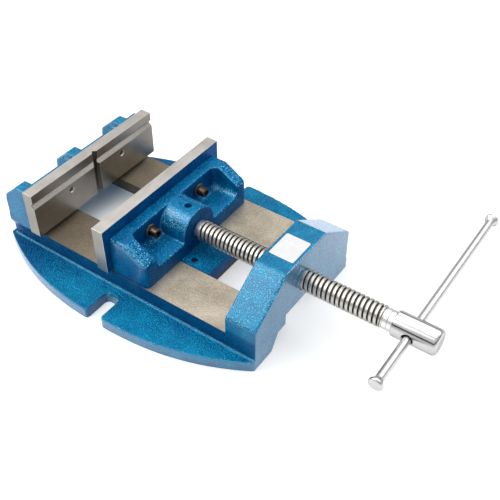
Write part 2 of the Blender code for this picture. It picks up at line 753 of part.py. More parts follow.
def build():
    """Make every piece and hang it on its joint."""
    remove_everything()
    paint = material("hammered blue paint", (0.02, 0.13, 0.36), 0.35, 0.3)
    ground = material("ground steel", (0.55, 0.53, 0.49), 0.35, 1)
    thread = material("bright thread steel", (0.62, 0.61, 0.58), 0.28, 1)
    chrome = material("chrome plate", (0.78, 0.79, 0.8), 0.12, 1)
    blackened = material("blackened steel", (0.09, 0.07, 0.06), 0.45, 0.8)
    dull = material("dull steel", (0.35, 0.34, 0.33), 0.5, 1)
    white = material("white vinyl", (0.85, 0.85, 0.85), 0.4, 0)

    base_casting(paint)
    fixed_jaw_plate(ground)
    jaw_fasteners("fixed_jaw", plate_seat_x - wall_thickness, fixed_jaw_screw_z, 1,
                  wall_thickness + plate_thickness + touch_gap - jaw_screw_tip_depth, blackened)
    blank_label(white)

    jaw = moving_jaw_casting(paint)
    jaw_pieces = [jaw, moving_jaw_plate(ground), keeper_plate(dull), spindle_keep_screw(blackened)]
    jaw_pieces += jaw_fasteners("moving_jaw", jaw_front_x + jaw_wall, moving_jaw_screw_z, -1,
                                jaw_wall + plate_thickness + touch_gap - jaw_screw_tip_depth, blackened)
    jaw_pieces += keeper_screws(blackened)
    slide = empty_at("jaw_slide_axis", (jaw_face_x, 0, rail_top_z))
    carry(slide, *jaw_pieces)

    turn = empty_at("spindle_turn_axis", (bar_x, 0, screw_axis_z))
    carry(turn, lead_screw(thread), spindle_head(chrome))
    handle = empty_at("handle_slide_axis", (bar_x, 0, screw_axis_z))
    carry(handle, *handle_pieces(chrome))
    carry(turn, handle)
    carry(slide, turn)


build()
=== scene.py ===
"""Visual model of a low drill press vise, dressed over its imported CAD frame.

Frame: +X runs along the lead screw from the fixed jaw to the handle, +Y across the jaws, +Z up.
Sizes in the classes are in millimetres; meshes are in metres.
"""

import logging
import math
from collections.abc import Callable, Iterator, Sequence
from contextlib import contextmanager
from dataclasses import dataclass
from enum import Enum

import bpy
from mathutils import Matrix, Vector

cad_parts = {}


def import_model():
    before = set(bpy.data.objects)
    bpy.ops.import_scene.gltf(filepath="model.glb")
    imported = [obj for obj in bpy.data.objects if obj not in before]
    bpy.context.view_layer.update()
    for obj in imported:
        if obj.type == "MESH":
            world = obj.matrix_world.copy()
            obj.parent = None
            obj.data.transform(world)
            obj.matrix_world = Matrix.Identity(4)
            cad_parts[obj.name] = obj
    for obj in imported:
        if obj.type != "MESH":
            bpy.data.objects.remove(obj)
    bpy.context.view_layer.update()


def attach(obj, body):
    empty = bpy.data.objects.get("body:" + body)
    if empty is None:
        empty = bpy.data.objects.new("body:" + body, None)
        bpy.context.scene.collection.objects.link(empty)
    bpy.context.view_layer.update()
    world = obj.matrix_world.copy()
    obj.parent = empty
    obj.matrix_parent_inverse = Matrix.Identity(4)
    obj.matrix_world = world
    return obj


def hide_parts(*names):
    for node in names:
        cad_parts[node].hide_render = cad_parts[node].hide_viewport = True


MM = 0.001
LOG = logging.getLogger("drill_vise")
SIDES = ((-1, "left"), (1, "right"))
SHARP = 12  # degrees at an edge, below which it belongs to a curve
OVER = 2  # how far a cutter runs past what it cuts, in millimetres

Pair = tuple[float, float]
Triple = tuple[float, float, float]


@dataclass(frozen=True)
class Places:
    """Places in millimetres that several sub-assemblies share."""

    screw_z: float = 41.7
    crest: float = 9
    root: float = 6.9
    seat: float = 16.7
    rail_top: float = 25.6
    fixed_face: float = 28
    sliding_face: float = 93.4
    fixed_wall: float = 7.7
    sliding_wall: float = 114.7
    jaw_screw_y: float = 32.3
    fixed_screw_z: float = 52.8
    sliding_screw_z: float = 50.6
    keeper_screw_x: float = 149.9
    keeper_screw_y: float = 19.8
    bar_x: float = 337.7
    bar_tilt: float = 1.5

    def bar(self) -> Vector:
        """The unit vector along the T-bar at rest."""
        tilt = math.radians(self.bar_tilt)
        return Vector((0, math.cos(tilt), math.sin(tilt)))


AT = Places()


class Axis(Enum):
    """The axis that a prism is drawn along, and where its outline's pairs go."""

    X = (1, 2, 0)
    Y = (0, 2, 1)
    Z = (0, 1, 2)

    def place(self, pair: Pair, level: float) -> Vector:
        """The point in metres of an outline's pair at a level along this axis."""
        point = Vector((0, 0, 0))
        point[self.value[0]], point[self.value[1]], point[self.value[2]] = (*pair, level)
        return point * MM

    def run(self, length: float) -> Vector:
        """The move in metres along this axis."""
        return self.place((0, 0), length)


class Body(Enum):
    """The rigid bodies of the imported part."""

    BASE = "base"
    JAW = "moving_jaw"
    SPINDLE = "spindle"
    HANDLE = "handle"


class Slot(Enum):
    """The record's material slots."""

    PAINT = "hammered_paint"
    GROUND = "ground_steel"
    THREAD = "thread_steel"
    CHROME = "chrome_plate"
    BLACK = "blackened_steel"
    DULL = "dull_steel"
    VINYL = "white_vinyl"


def spot(x: float, y: float, z: float) -> Vector:
    """A point in metres from millimetres."""
    return Vector((x, y, z)) * MM


def arc(centre: Pair, radius: float, start: float, end: float, steps: int) -> list[Pair]:
    """Points of an arc.

    Args:
        centre: the arc's centre.
        radius: its radius.
        start: the first angle in degrees.
        end: the last angle in degrees.
        steps: how many chords it has.

    Returns:
        The points, both ends included.
    """
    angles = [math.radians(start + (end - start) * step / steps) for step in range(steps + 1)]
    return [(centre[0] + radius * math.cos(a), centre[1] + radius * math.sin(a)) for a in angles]


def mirrored(half: Sequence[Pair]) -> list[Pair]:
    """A whole outline from the half of it that is on the positive side."""
    return [(-across, up) for across, up in half] + list(reversed(half))


def deselect() -> None:
    """Deselect everything, because an operator acts on all that is selected."""
    bpy.ops.object.select_all(action="DESELECT")


@dataclass
class EdgeView:
    """What a rounding rule knows of one edge, in millimetres."""

    middle: Vector
    run: Vector
    hollow: bool


EdgeRule = Callable[[EdgeView], float]
FaceRule = Callable[[Vector, Vector], bool]


class Piece:
    """One mesh under work, shaped by Blender's own operators."""

    def __init__(self, name: str) -> None:
        """Take over the mesh that an operator has just added, with its place in its mesh."""
        self.shape = bpy.context.active_object
        self.shape.name = name
        self.shape.data.name = name
        self.freeze()

    # How a piece starts

    @classmethod
    def block(cls, name: str, along: Pair, half: float, up: Pair) -> "Piece":
        """A block that is centred across the vise, in millimetres.

        Args:
            name: the piece's name.
            along: where it starts and ends in X.
            half: half its width.
            up: where it starts and ends in Z.

        Returns:
            The block.
        """
        deselect()
        near, far = spot(along[0], -half, up[0]), spot(along[1], half, up[1])
        bpy.ops.mesh.primitive_cube_add(size=1, location=(near + far) / 2, scale=far - near)
        return cls(name)

    @classmethod
    def prism(cls, name: str, outline: Sequence[Pair], axis: Axis, low: float, high: float) -> "Piece":
        """An outline drawn out along an axis.

        Args:
            name: the piece's name.
            outline: its corners in millimetres, in order.
            axis: the axis that it is drawn along.
            low: where it starts.
            high: where it ends.

        Returns:
            The closed piece.
        """
        deselect()
        bpy.ops.mesh.primitive_circle_add(vertices=len(outline), radius=1, fill_type="NGON")
        piece = cls(name)
        for corner, pair in zip(piece.shape.data.vertices, outline):
            corner.co = axis.place(pair, low)
        with piece.editing():
            bpy.ops.mesh.extrude_region_move(
                TRANSFORM_OT_translate={"value": axis.run(high - low)})
        piece.face_outwards()
        return piece

    @classmethod
    def chain(cls, name: str, profile: Sequence[Pair]) -> "Piece":
        """A run of edges through (distance along X, distance from X) pairs in millimetres.

        Args:
            name: the piece's name.
            profile: the pairs, in order.

        Returns:
            The open chain.
        """
        deselect()
        bpy.ops.mesh.primitive_plane_add(size=MM)
        piece = cls(name)
        points = [spot(along, 0, radius) for along, radius in profile]
        with piece.editing():
            bpy.ops.mesh.merge(type="CENTER")
            bpy.ops.transform.translate(value=points[0])
            for start, end in zip(points, points[1:]):
                bpy.ops.mesh.extrude_vertices_move(TRANSFORM_OT_translate={"value": end - start})
        return piece

    @classmethod
    def turned(cls, name: str, profile: Sequence[Pair], sides: int = 64) -> "Piece":
        """A round piece about the X axis, from a profile that starts and ends on the axis.

        Args:
            name: the piece's name.
            profile: (distance along X, radius) pairs.
            sides: its facets.

        Returns:
            The closed piece.
        """
        piece = cls.chain(name, profile)
        with piece.editing():
            bpy.ops.mesh.spin(steps=sides, angle=math.tau, center=(0, 0, 0), axis=(1, 0, 0))
        with piece.editing():
            bpy.ops.mesh.remove_doubles(threshold=MM / 1000)
        piece.face_outwards()
        return piece

    @classmethod
    def rod(cls, name: str, start: float, end: float, radius: float, sides: int = 32) -> "Piece":
        """A plain round bar along X."""
        return cls.turned(name, [(start, 0), (start, radius), (end, radius), (end, 0)], sides)

    def copy(self, name: str) -> "Piece":
        """A copy with its own mesh."""
        self.alone()
        bpy.ops.object.duplicate(linked=False)
        return Piece(name)

    # How operators reach it

    def alone(self) -> None:
        """Select this piece and nothing else."""
        deselect()
        self.shape.select_set(True)
        bpy.context.view_layer.objects.active = self.shape

    @contextmanager
    def editing(self) -> Iterator[None]:
        """Edit mode, with the whole mesh selected."""
        self.alone()
        bpy.ops.object.mode_set(mode="EDIT")
        bpy.ops.mesh.select_all(action="SELECT")
        yield
        bpy.ops.object.mode_set(mode="OBJECT")

    def modify(self, kind: str, **settings: object) -> None:
        """Add a modifier, set it and apply it.

        Args:
            kind: the modifier's type.
            settings: its settings, by name.
        """
        self.alone()
        bpy.ops.object.modifier_add(type=kind)
        step = self.shape.modifiers[-1]
        for name, value in settings.items():
            setattr(step, name, value)
        bpy.ops.object.modifier_apply(modifier=step.name)

    # How it is shaped

    def freeze(self) -> None:
        """Put the piece's place, turn and scale into its mesh."""
        self.alone()
        bpy.ops.object.transform_apply(location=True, rotation=True, scale=True)

    def put(self, place: Matrix) -> "Piece":
        """Move and turn the piece, and keep that in its mesh."""
        self.shape.matrix_world = place
        self.freeze()
        return self

    def move(self, x: float, y: float, z: float) -> "Piece":
        """Move the piece by millimetres."""
        return self.put(Matrix.Translation(spot(x, y, z)))

    def aim(self, place: Vector, direction: Sequence[float] = (0, 0, 1)) -> "Piece":
        """Turn the piece's X axis along a direction and move it to a place in metres."""
        turn = Vector(direction).to_track_quat("X", "Z").to_matrix().to_4x4()
        return self.put(Matrix.Translation(place) @ turn)

    def face_outwards(self) -> None:
        """Turn every face outwards."""
        with self.editing():
            bpy.ops.mesh.normals_make_consistent(inside=False)

    def cut(self, *tools: "Piece") -> "Piece":
        """Take other pieces out of this one."""
        return self._combine("DIFFERENCE", tools)

    def join(self, *tools: "Piece") -> "Piece":
        """Add other pieces to this one."""
        return self._combine("UNION", tools)

    def _combine(self, operation: str, tools: Sequence["Piece"]) -> "Piece":
        """One exact Boolean with each tool, which is used up."""
        for tool in tools:
            self.modify("BOOLEAN", operation=operation, solver="EXACT", object=tool.shape)
            bpy.data.objects.remove(tool.shape)
        return self

    def tidy(self, flat: float = 0.5) -> "Piece":
        """Merge doubled points and melt the lines on flat faces."""
        with self.editing():
            bpy.ops.mesh.remove_doubles(threshold=MM / 100)
            bpy.ops.mesh.dissolve_limited(angle_limit=math.radians(flat))
            bpy.ops.mesh.normals_make_consistent(inside=False)
        return self

    def round_edges(self, rule: EdgeRule, segments: int = 3) -> "Piece":
        """Round each edge by the radius that a rule gives it.

        Args:
            rule: gives an edge's radius in millimetres, or 0 to keep it sharp.
            segments: how many facets each round has.

        Returns:
            The piece.
        """
        mesh = self.shape.data
        sides: dict[int, list[bpy.types.MeshPolygon]] = {}
        keys = {key: index for index, key in enumerate(mesh.edge_keys)}
        for face in mesh.polygons:
            for key in face.edge_keys:
                sides.setdefault(keys[key], []).append(face)
        radii = [0.0] * len(mesh.edges)
        for edge in mesh.edges:
            faces = sides.get(edge.index, [])
            if len(faces) != 2:
                continue
            one, other = faces
            if math.degrees(one.normal.angle(other.normal, 0)) < SHARP:
                continue
            start, end = (mesh.vertices[index].co for index in edge.vertices)
            hollow = one.normal.dot(other.center - one.center) > 0
            radii[edge.index] = rule(EdgeView((start + end) / (2 * MM), (end - start) / MM, hollow))
        widest = max(radii)
        weights = mesh.attributes.new("bevel_weight_edge", "FLOAT", "EDGE")
        weights.data.foreach_set("value", [radius / widest for radius in radii])
        self.modify("BEVEL", limit_method="WEIGHT", width=widest * MM, segments=segments,
                    use_clamp_overlap=False)
        return self

    def sand_cast(self, cell: float, blending: int, share: float) -> "Piece":
        """Blend every corner, as a sand casting's corners are.

        Args:
            cell: the remesh's cell in millimetres.
            blending: how many times it is smoothed.
            share: the share of its faces that is kept.

        Returns:
            The piece.
        """
        self.modify("REMESH", mode="VOXEL", voxel_size=cell * MM)
        self.modify("SMOOTH", factor=0.5, iterations=blending)
        self.modify("DECIMATE", decimate_type="COLLAPSE", ratio=share)
        return self.tidy(0.3)

    def soften(self, radius: float, segments: int = 2) -> "Piece":
        """Round every sharp edge by one radius."""
        self.modify("BEVEL", limit_method="ANGLE", angle_limit=math.radians(30),
                    width=radius * MM, segments=segments, use_clamp_overlap=True)
        return self

    def shade(self, angle: float = 35) -> "Piece":
        """Shade smooth, with sharp edges kept and flat faces left flat."""
        self.alone()
        bpy.ops.object.shade_smooth_by_angle(angle=math.radians(angle))
        self.modify("WEIGHTED_NORMAL", keep_sharp=True, weight=80)
        return self

    # How it is dressed

    def dress(self, *finishes: bpy.types.Material) -> "Piece":
        """Give the piece its materials, the first one all over.

        Args:
            finishes: the materials, in the order of their numbers.

        Returns:
            The piece.
        """
        self.shape.data.materials.clear()
        for finish in finishes:
            self.shape.data.materials.append(finish)
        for face in self.shape.data.polygons:
            face.material_index = 0
        return self

    def paint_where(self, index: int, rule: FaceRule) -> "Piece":
        """Give a material to the faces that a rule picks by centre, in millimetres, and normal.

        Args:
            index: the material's number.
            rule: picks the faces.

        Returns:
            The piece.
        """
        for face in self.shape.data.polygons:
            if rule(face.center / MM, face.normal):
                face.material_index = index
        return self

    def settle(self, body: Body, slot: Slot, *nodes: str) -> "Piece":
        """Hang the piece on its body in place of CAD nodes, and report it.

        Args:
            body: what it rides on.
            slot: not used.
            nodes: the CAD nodes.

        Returns:
            The piece.
        """
        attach(self.shape, body.value)
        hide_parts(*nodes)
        LOG.info("%s on %s: %d faces", self.shape.name, body.value, len(self.shape.data.polygons))
        return self


# Shader maths

def operator(operation: str, reflected: bool = False) -> Callable[["Wave", "Wave | float"], "Wave"]:
    """A Python operator that adds one Math node, with its terms swapped where it is reflected."""
    def apply(wave: "Wave", other: "Wave | float") -> "Wave":
        """The node's result."""
        return wave.graph.sum_up(operation, *((other, wave) if reflected else (wave, other)))
    return apply


class Wave:
    """A number that varies over a surface, so that shader maths reads as Python."""

    def __init__(self, graph: "Graph", socket: bpy.types.NodeSocket) -> None:
        """Wrap a socket of a material's graph."""
        self.graph = graph
        self.socket = socket

    __add__, __radd__ = operator("ADD"), operator("ADD", reflected=True)
    __sub__, __rsub__ = operator("SUBTRACT"), operator("SUBTRACT", reflected=True)
    __mul__, __rmul__ = operator("MULTIPLY"), operator("MULTIPLY", reflected=True)
    __pow__ = operator("POWER")

    def between(self, low: float, high: float) -> "Wave":
        """0 below low and 1 above high, with a smooth rise."""
        made = self.graph.node("ShaderNodeMapRange", {"interpolation_type": "SMOOTHSTEP"},
                               {"Value": self, "From Min": low, "From Max": high})
        return Wave(self.graph, made.outputs["Result"])


class Tree:
    """The node tree of a material or of the world."""

    def __init__(self, owner: bpy.types.Material | bpy.types.World) -> None:
        """Start the owner's tree."""
        owner.use_nodes = True
        self.nodes = owner.node_tree.nodes
        self.links = owner.node_tree.links

    def node(self, kind: str, settings: dict[str, object] | None = None,
             inputs: dict[str | int, object] | None = None) -> bpy.types.Node:
        """Add one node.

        Args:
            kind: the node's type.
            settings: its own settings, which are set first.
            inputs: values or links of its sockets, by name or number.

        Returns:
            The node.
        """
        made = self.nodes.new(kind)
        for name, value in (settings or {}).items():
            setattr(made, name, value)
        for name, value in (inputs or {}).items():
            self.feed(made.inputs[name], value)
        return made

    def feed(self, socket: bpy.types.NodeSocket, value: object) -> None:
        """Link a wave or a socket, or set a plain value."""
        if isinstance(value, Wave):
            value = value.socket
        if isinstance(value, bpy.types.NodeSocket):
            self.links.new(value, socket)
        else:
            socket.default_value = value


class Graph(Tree):
    """The node tree of one material, with one Principled shader."""

    def __init__(self, name: str) -> None:
        """Start a material and find its shader."""
        self.material = bpy.data.materials.new(name)
        super().__init__(self.material)
        self.shader = self.nodes["Principled BSDF"]
        self.place = self.node("ShaderNodeTexCoord").outputs["Object"]

    def sum_up(self, operation: str, *terms: "Wave | float") -> Wave:
        """One Math node on two terms."""
        made = self.node("ShaderNodeMath", {"operation": operation}, dict(enumerate(terms)))
        return Wave(self, made.outputs[0])

    def noise(self, size: float, detail: float = 2, stretch: Triple = (1, 1, 1)) -> Wave:
        """Soft noise whose lumps are about a size in millimetres, shorter where stretch is more.

        Args:
            size: the lumps' size.
            detail: how many finer octaves it has.
            stretch: a factor for each axis.

        Returns:
            The noise.
        """
        scaled = self.node("ShaderNodeVectorMath", {"operation": "MULTIPLY"}, {0: self.place, 1: stretch})
        made = self.node("ShaderNodeTexNoise", inputs={
            "Vector": scaled.outputs[0], "Scale": 1 / (size * MM), "Detail": detail})
        return Wave(self, made.outputs["Fac"])

    def dimples(self, size: float) -> Wave:
        """The distance to the nearest of many scattered points about a size apart.

        Args:
            size: how far apart they lie, in millimetres.

        Returns:
            The distance, in sizes.
        """
        drift = self.node("ShaderNodeTexNoise", inputs={
            "Vector": self.place, "Scale": 1 / (2 * size * MM), "Detail": 1})
        moved = self.node("ShaderNodeVectorMath", {"operation": "MULTIPLY_ADD"}, {
            0: drift.outputs["Color"], 1: (size * MM,) * 3, 2: self.place})
        made = self.node("ShaderNodeTexVoronoi", {"feature": "SMOOTH_F1"}, {
            "Vector": moved.outputs[0], "Scale": 1 / (size * MM), "Smoothness": 0.6})
        return Wave(self, made.outputs["Distance"])

    def axis(self, which: int) -> Wave:
        """The object coordinate along X, Y or Z, by number."""
        made = self.node("ShaderNodeSeparateXYZ", inputs={0: self.place})
        return Wave(self, made.outputs[which])

    def facing(self, which: int) -> Wave:
        """The surface normal's share along X, Y or Z, by number."""
        source = self.node("ShaderNodeTexCoord")
        made = self.node("ShaderNodeSeparateXYZ", inputs={0: source.outputs["Normal"]})
        return Wave(self, made.outputs[which])

    def level(self, which: int, low: float, high: float) -> Wave:
        """0 below a level of X, Y or Z in millimetres and 1 above another."""
        return self.axis(which).between(low * MM, high * MM)

    def below(self, which: int, low: float, high: float) -> Wave:
        """1 below a level of X, Y or Z in millimetres and 0 above another."""
        return 1 - self.level(which, low, high)

    def towards(self, which: int, low: float, high: float) -> Wave:
        """0 to 1 as the surface turns towards X, Y or Z."""
        return self.facing(which).between(low, high)

    def nearside(self, low: float, high: float) -> Wave:
        """0 to 1 as the surface turns towards -Y."""
        return (0 - self.facing(1)).between(low, high)

    def mix(self, share: Wave, low: Triple | bpy.types.NodeSocket,
            high: Triple) -> bpy.types.NodeSocket:
        """A colour between two.

        Args:
            share: how far towards the second colour.
            low: the first colour.
            high: the second.

        Returns:
            The colour's socket.
        """
        ends = [end if isinstance(end, bpy.types.NodeSocket) else (*end, 1) for end in (low, high)]
        made = self.node("ShaderNodeMix", {"data_type": "RGBA"}, {0: share, 6: ends[0], 7: ends[1]})
        return made.outputs[2]

    def bumped(self, *layers: tuple[Wave, float]) -> bpy.types.NodeSocket:
        """A normal from height waves, each with its full height in millimetres.

        Args:
            layers: the waves with their heights, the lowest first.

        Returns:
            The normal's socket.
        """
        below: dict[str | int, object] = {}
        for height, depth in layers:
            made = self.node("ShaderNodeBump", inputs={
                "Height": height, "Distance": depth * MM, "Strength": 1, **below})
            below = {"Normal": made.outputs["Normal"]}
        return made.outputs["Normal"]

    def close(self, **values: object) -> bpy.types.Material:
        """Set the shader's sockets, by name with underscores, and give the material."""
        for name, value in values.items():
            self.feed(self.shader.inputs[name.replace("_", " ")], value)
        return self.material


# Finishes

@dataclass(frozen=True)
class HammeredPaint:
    """Hammered blue enamel: metal flake in clear blue, dimpled all over, under a clear coat.

    The coat lies thick where gloss says and thin where film says.
    The colour carries painted light: painted glints on slopes and along the rail fillet, lighter slopes,
    and painted shade on faces turned away, on the flange's rear, low on the near sides and on the bolt slots'
    walls.
    Levels are in millimetres.
    """

    name: str = "hammered_blue_enamel"
    gloss: float = 1
    film: float = 0.32
    ior: float = 1.6
    deep: Triple = (0.0, 0.085, 0.24)
    light: Triple = (0.005, 0.43, 0.74)
    sheen: Triple = (0.05, 0.5, 0.8)
    # Colour of the painted highlights (glints) on slopes and along the rail fillet
    painted_glint_colour: Triple = (0.25, 0.82, 0.98)
    dimple: float = 1.3
    depth: float = 0.6
    # How much lighter slanted faces are painted: painted light
    painted_slope_light: float = 0.2
    # How much darker faces turned towards +X and +Y are painted: painted shade
    painted_away_shade: float = 0
    # How strongly the painted glints show on slopes
    painted_glint_share: float = 0.68
    crown: float = 0.12
    side: float = 0
    base_tone: float = 0.35
    flange_edge: Pair = (9.5, 10.2)
    # Where the painted shade on the flange's rear lies
    flange_top: Pair = (11, 14)
    flange_rear: Pair = (0, 80)
    # Levels of the fillet that carries the painted highlight
    fillet_foot: Pair = (9.8, 10.4)
    fillet_head: Pair = (14, 16)
    # Levels of the painted shade low on the near sides
    rail_foot: Pair = (9.8, 10.6)
    rail_head: Pair = (25, 32)
    upper: Pair = (30, 45)
    # Where the bolt slots' painted shade ends along X
    slot_wall: Pair = (118, 125)

    def make(self) -> bpy.types.Material:
        """The node material."""
        graph = Graph(self.name)
        height = graph.dimples(self.dimple).between(0.05, 0.62)
        broad, flake = graph.noise(14, 3), graph.noise(0.45, 1)

        # Which way a face looks, and where it lies
        flats = graph.towards(2, 0.88, 0.97)
        slanted = graph.towards(2, 0.25, 0.5) * (1 - flats * 0.85)
        away = (graph.facing(0) + graph.facing(1)).between(0.3, 0.5)
        near = graph.nearside(0.6, 0.8)
        high = graph.level(2, *self.upper)
        # Painted shade on the flange's flat tops towards the rear; the coat is thinner there too
        rear_flange_shade = graph.below(2, *self.flange_top) * graph.below(0, *self.flange_rear)
        # Painted shade low on faces turned towards -Y, between the rail's foot and head; the coat is thinner
        # there too
        near_side_shade = near * graph.level(2, *self.rail_foot) * graph.below(2, *self.rail_head)
        # Painted shade on the bolt slots' walls turned towards +X, which also get less coat
        well = graph.towards(0, 0.55, 0.8) * graph.below(0, *self.slot_wall)
        well = well * graph.below(2, *self.flange_edge)
        # Painted highlight: bright specks along the fillet where the flange meets the rails
        fillet_glint_mask = graph.nearside(0.25, 0.5) * graph.towards(2, 0.25, 0.45) * (1 - graph.towards(2, 0.68, 0.84))
        fillet_glint_mask = fillet_glint_mask * graph.level(2, *self.fillet_foot) * graph.below(2, *self.fillet_head)
        rim = (1 - graph.towards(2, 0.15, 0.45)) * graph.below(2, *self.flange_edge)
        brow = graph.nearside(0.3, 0.6) * graph.towards(2, 0.05, 0.3) * (1 - graph.towards(2, 0.55, 0.75))

        # Colour: deep to light blue, with painted light and shade: painted glints on the slopes and along the
        # rail fillet, slopes painted lighter, and painted shade on faces turned away, on the flange's rear,
        # low on the near sides and on the bolt slots' walls
        tone = (broad - 0.5) * 0.5 + (flake - 0.5) * 0.4 + (0.5 - height) * (slanted * 0.5 + 0.25)
        # Painted light on slopes; painted shade on faces turned away and on the flat tops at the flange's
        # rear
        tone = tone + slanted * self.painted_slope_light + self.base_tone - away * self.painted_away_shade - flats * rear_flange_shade * 0.4
        # Painted shade low on the near sides and on the bolt slots' walls
        tone = tone - near_side_shade * 0.28 - well * 0.3
        colour = graph.mix(tone.between(-0.1, 0.85), self.deep, self.light)
        # Painted highlights: bright glints on the dimples of slanted faces
        painted_glints = (1 - height).between(0.28, 0.75) * slanted * flake.between(0.25, 0.7)
        fillet_glints = fillet_glint_mask * flake.between(0.35, 0.6) * (1 - height * 0.6)

        # Clear coat
        shine = (away + rim).between(0, 1) * (1 - well * 0.75)
        film = (1 - flats * (1 - high) * (0.6 + rear_flange_shade * 0.3) - near_side_shade * 0.6) * self.film
        film = film + high * (slanted * self.crown + near * self.side)
        coat = film * (1 - shine) + shine * self.gloss + brow
        return graph.close(
            Base_Color=graph.mix(painted_glints * self.painted_glint_share * (1 - fillet_glints) + fillet_glints * 0.75, colour, self.painted_glint_colour),
            Metallic=0.35, Roughness=0.24 + height * 0.1 + (broad - 0.5) * 0.1,
            IOR=self.ior, Specular_Tint=(*self.sheen, 1),
            Coat_Weight=coat.between(0, 1), Coat_Roughness=0.2, Coat_IOR=1.65,
            Normal=graph.bumped((graph.noise(5, 2), 0.25), (1 - height, self.depth)))


@dataclass(frozen=True)
class GroundSteel:
    """Surface-ground steel with grinding lines along one axis, with painted shade on faces turned towards +X
    and painted brown shade towards the rear, between the jaws.
    """

    name: str
    colour: Triple = (0.85, 0.81, 0.76)
    dark: Triple = (0.58, 0.54, 0.49)
    along: Triple = (1, 0.02, 1)
    roughness: float = 0.34
    metallic: float = 0.95
    # How much painted shade darkens faces turned towards +X and their flanks
    face: float = 0
    scratch: float = 0.015
    speckle: float = 0.15
    grain: float = 0.7
    # Painted brown shade towards the rear, where the rails lie between the jaws
    gap_shade: float = 0
    gap_shade_reach: Pair = (90, 150)
    shadow: Triple = (0.02, 0.018, 0.015)
    gap_shade_colour: Triple = (0.12, 0.085, 0.05)

    def make(self) -> bpy.types.Material:
        """The node material."""
        graph = Graph(self.name)
        lines = graph.noise(0.35, 3, self.along)
        broad = graph.noise(18, 3)
        grain = graph.noise(self.grain, 3)
        tone = lines * (0.6 - self.speckle) + broad * 0.4 + grain * self.speckle
        plain = graph.mix(tone.between(0.3, 0.7), self.dark, self.colour)
        # Painted shade, fading out along X
        gap_shade_mask = graph.below(0, *self.gap_shade_reach) * self.gap_shade * (0.8 + broad * 0.4)
        # Painted shade on faces turned towards +X, deeper on groove flanks
        upward = graph.towards(2, 0.3, 0.6)
        front_shade_mask = graph.towards(0, 0.5, 0.68) * (1 + upward * 0.1)
        flank_shade_mask = front_shade_mask * (1 - graph.towards(0, 0.8, 0.9)) * (1 - upward)
        plain = graph.mix((front_shade_mask * 0.69 + flank_shade_mask * 0.2) * self.face, plain, self.shadow)
        return graph.close(
            Base_Color=graph.mix(gap_shade_mask, plain, self.gap_shade_colour),
            Metallic=self.metallic, Roughness=self.roughness + (lines - 0.5) * 0.2 + (broad - 0.5) * 0.12,
            Specular_Tint=(0.5, 0.5, 0.5, 1),
            Normal=graph.bumped((lines, self.scratch), (grain, self.speckle * 0.06)))


@dataclass(frozen=True)
class ThreadSteel:
    """Bright machined steel with painted shade down in the grooves, and turning marks."""

    name: str = "thread_steel"
    cut_end: float = 313.3
    bright: Triple = (0.62, 0.60, 0.565)
    collar: Triple = (0.84, 0.84, 0.83)
    # Colour of the painted shade in the grooves
    dark: Triple = (0.2, 0.185, 0.165)

    def make(self) -> bpy.types.Material:
        """The node material."""
        graph = Graph(self.name)
        across, up = graph.axis(1), graph.axis(2) - AT.screw_z * MM
        radius = (across * across + up * up) ** 0.5
        plain = graph.level(0, self.cut_end, self.cut_end + 0.2)
        # Painted shade: the colour darkens towards the thread's root
        high = radius.between((AT.root + 0.2) * MM, (AT.crest - 0.15) * MM) * (1 - plain) + plain
        marks = graph.noise(0.3, 2, (1, 0.05, 0.05))
        broad = graph.noise(9, 2)
        share = high * (0.82 + broad * 0.3)
        return graph.close(
            Base_Color=graph.mix(plain, graph.mix(share.between(0, 1), self.dark, self.bright), self.collar),
            Metallic=1.0, Roughness=0.44 - high * 0.1 + (broad - 0.5) * 0.12,
            Specular_Tint=(0.3, 0.3, 0.3, 1),
            Normal=graph.bumped((marks, 0.01)))


@dataclass(frozen=True)
class Plating:
    """Polished plating with faint wiping marks, and a painted highlight on faces turned towards +X."""

    name: str = "chrome_plating"
    colour: Triple = (0.62, 0.62, 0.615)
    rim: Triple = (0.5, 0.5, 0.51)
    # Colour of the painted highlight on faces turned towards +X
    end: Triple = (0.95, 0.95, 0.95)
    roughness: float = 0.12

    def make(self) -> bpy.types.Material:
        """The node material."""
        graph = Graph(self.name)
        smear = graph.noise(6, 3)
        wipe = graph.noise(0.5, 2, (0.1, 1, 1))
        streaks = (smear * 0.5 + wipe * 0.5).between(0.3, 0.7)
        side = graph.mix(streaks, tuple(c * 0.9 for c in self.colour), self.colour)
        return graph.close(
            # Painted highlight: faces turned towards +X are brighter
            Base_Color=graph.mix(graph.towards(0, 0.85, 0.97), side, self.end),
            Metallic=1.0, Roughness=self.roughness + smear * 0.05 + wipe * 0.03,
            Specular_Tint=(*self.rim, 1), Normal=graph.bumped((graph.noise(8, 1), 0.02)))


@dataclass(frozen=True)
class DarkSteel:
    """Oiled dark steel, browner where it is handled."""

    name: str
    dark: Triple = (0.035, 0.026, 0.02)
    brown: Triple = (0.17, 0.115, 0.075)
    roughness: float = 0.36

    def make(self) -> bpy.types.Material:
        """The node material."""
        graph = Graph(self.name)
        patches = graph.noise(2.5, 3)
        grain = graph.noise(0.4, 2)
        return graph.close(
            Base_Color=graph.mix((patches * 0.8 + grain * 0.2).between(0.3, 0.7), self.dark, self.brown),
            Metallic=0.9, Roughness=self.roughness + (grain - 0.5) * 0.25,
            Normal=graph.bumped((grain, 0.02)))


@dataclass(frozen=True)
class Vinyl:
    """A blank white sticker with a faint unevenness."""

    name: str = "blank_white_vinyl"

    def make(self) -> bpy.types.Material:
        """The node material."""
        graph = Graph(self.name)
        soil = graph.noise(7, 3)
        return graph.close(
            Base_Color=graph.mix(soil.between(0.25, 0.75), (0.80, 0.81, 0.83), (0.88, 0.88, 0.89)),
            Roughness=0.3 + soil * 0.1, Normal=graph.bumped((graph.noise(3, 1), 0.02)))


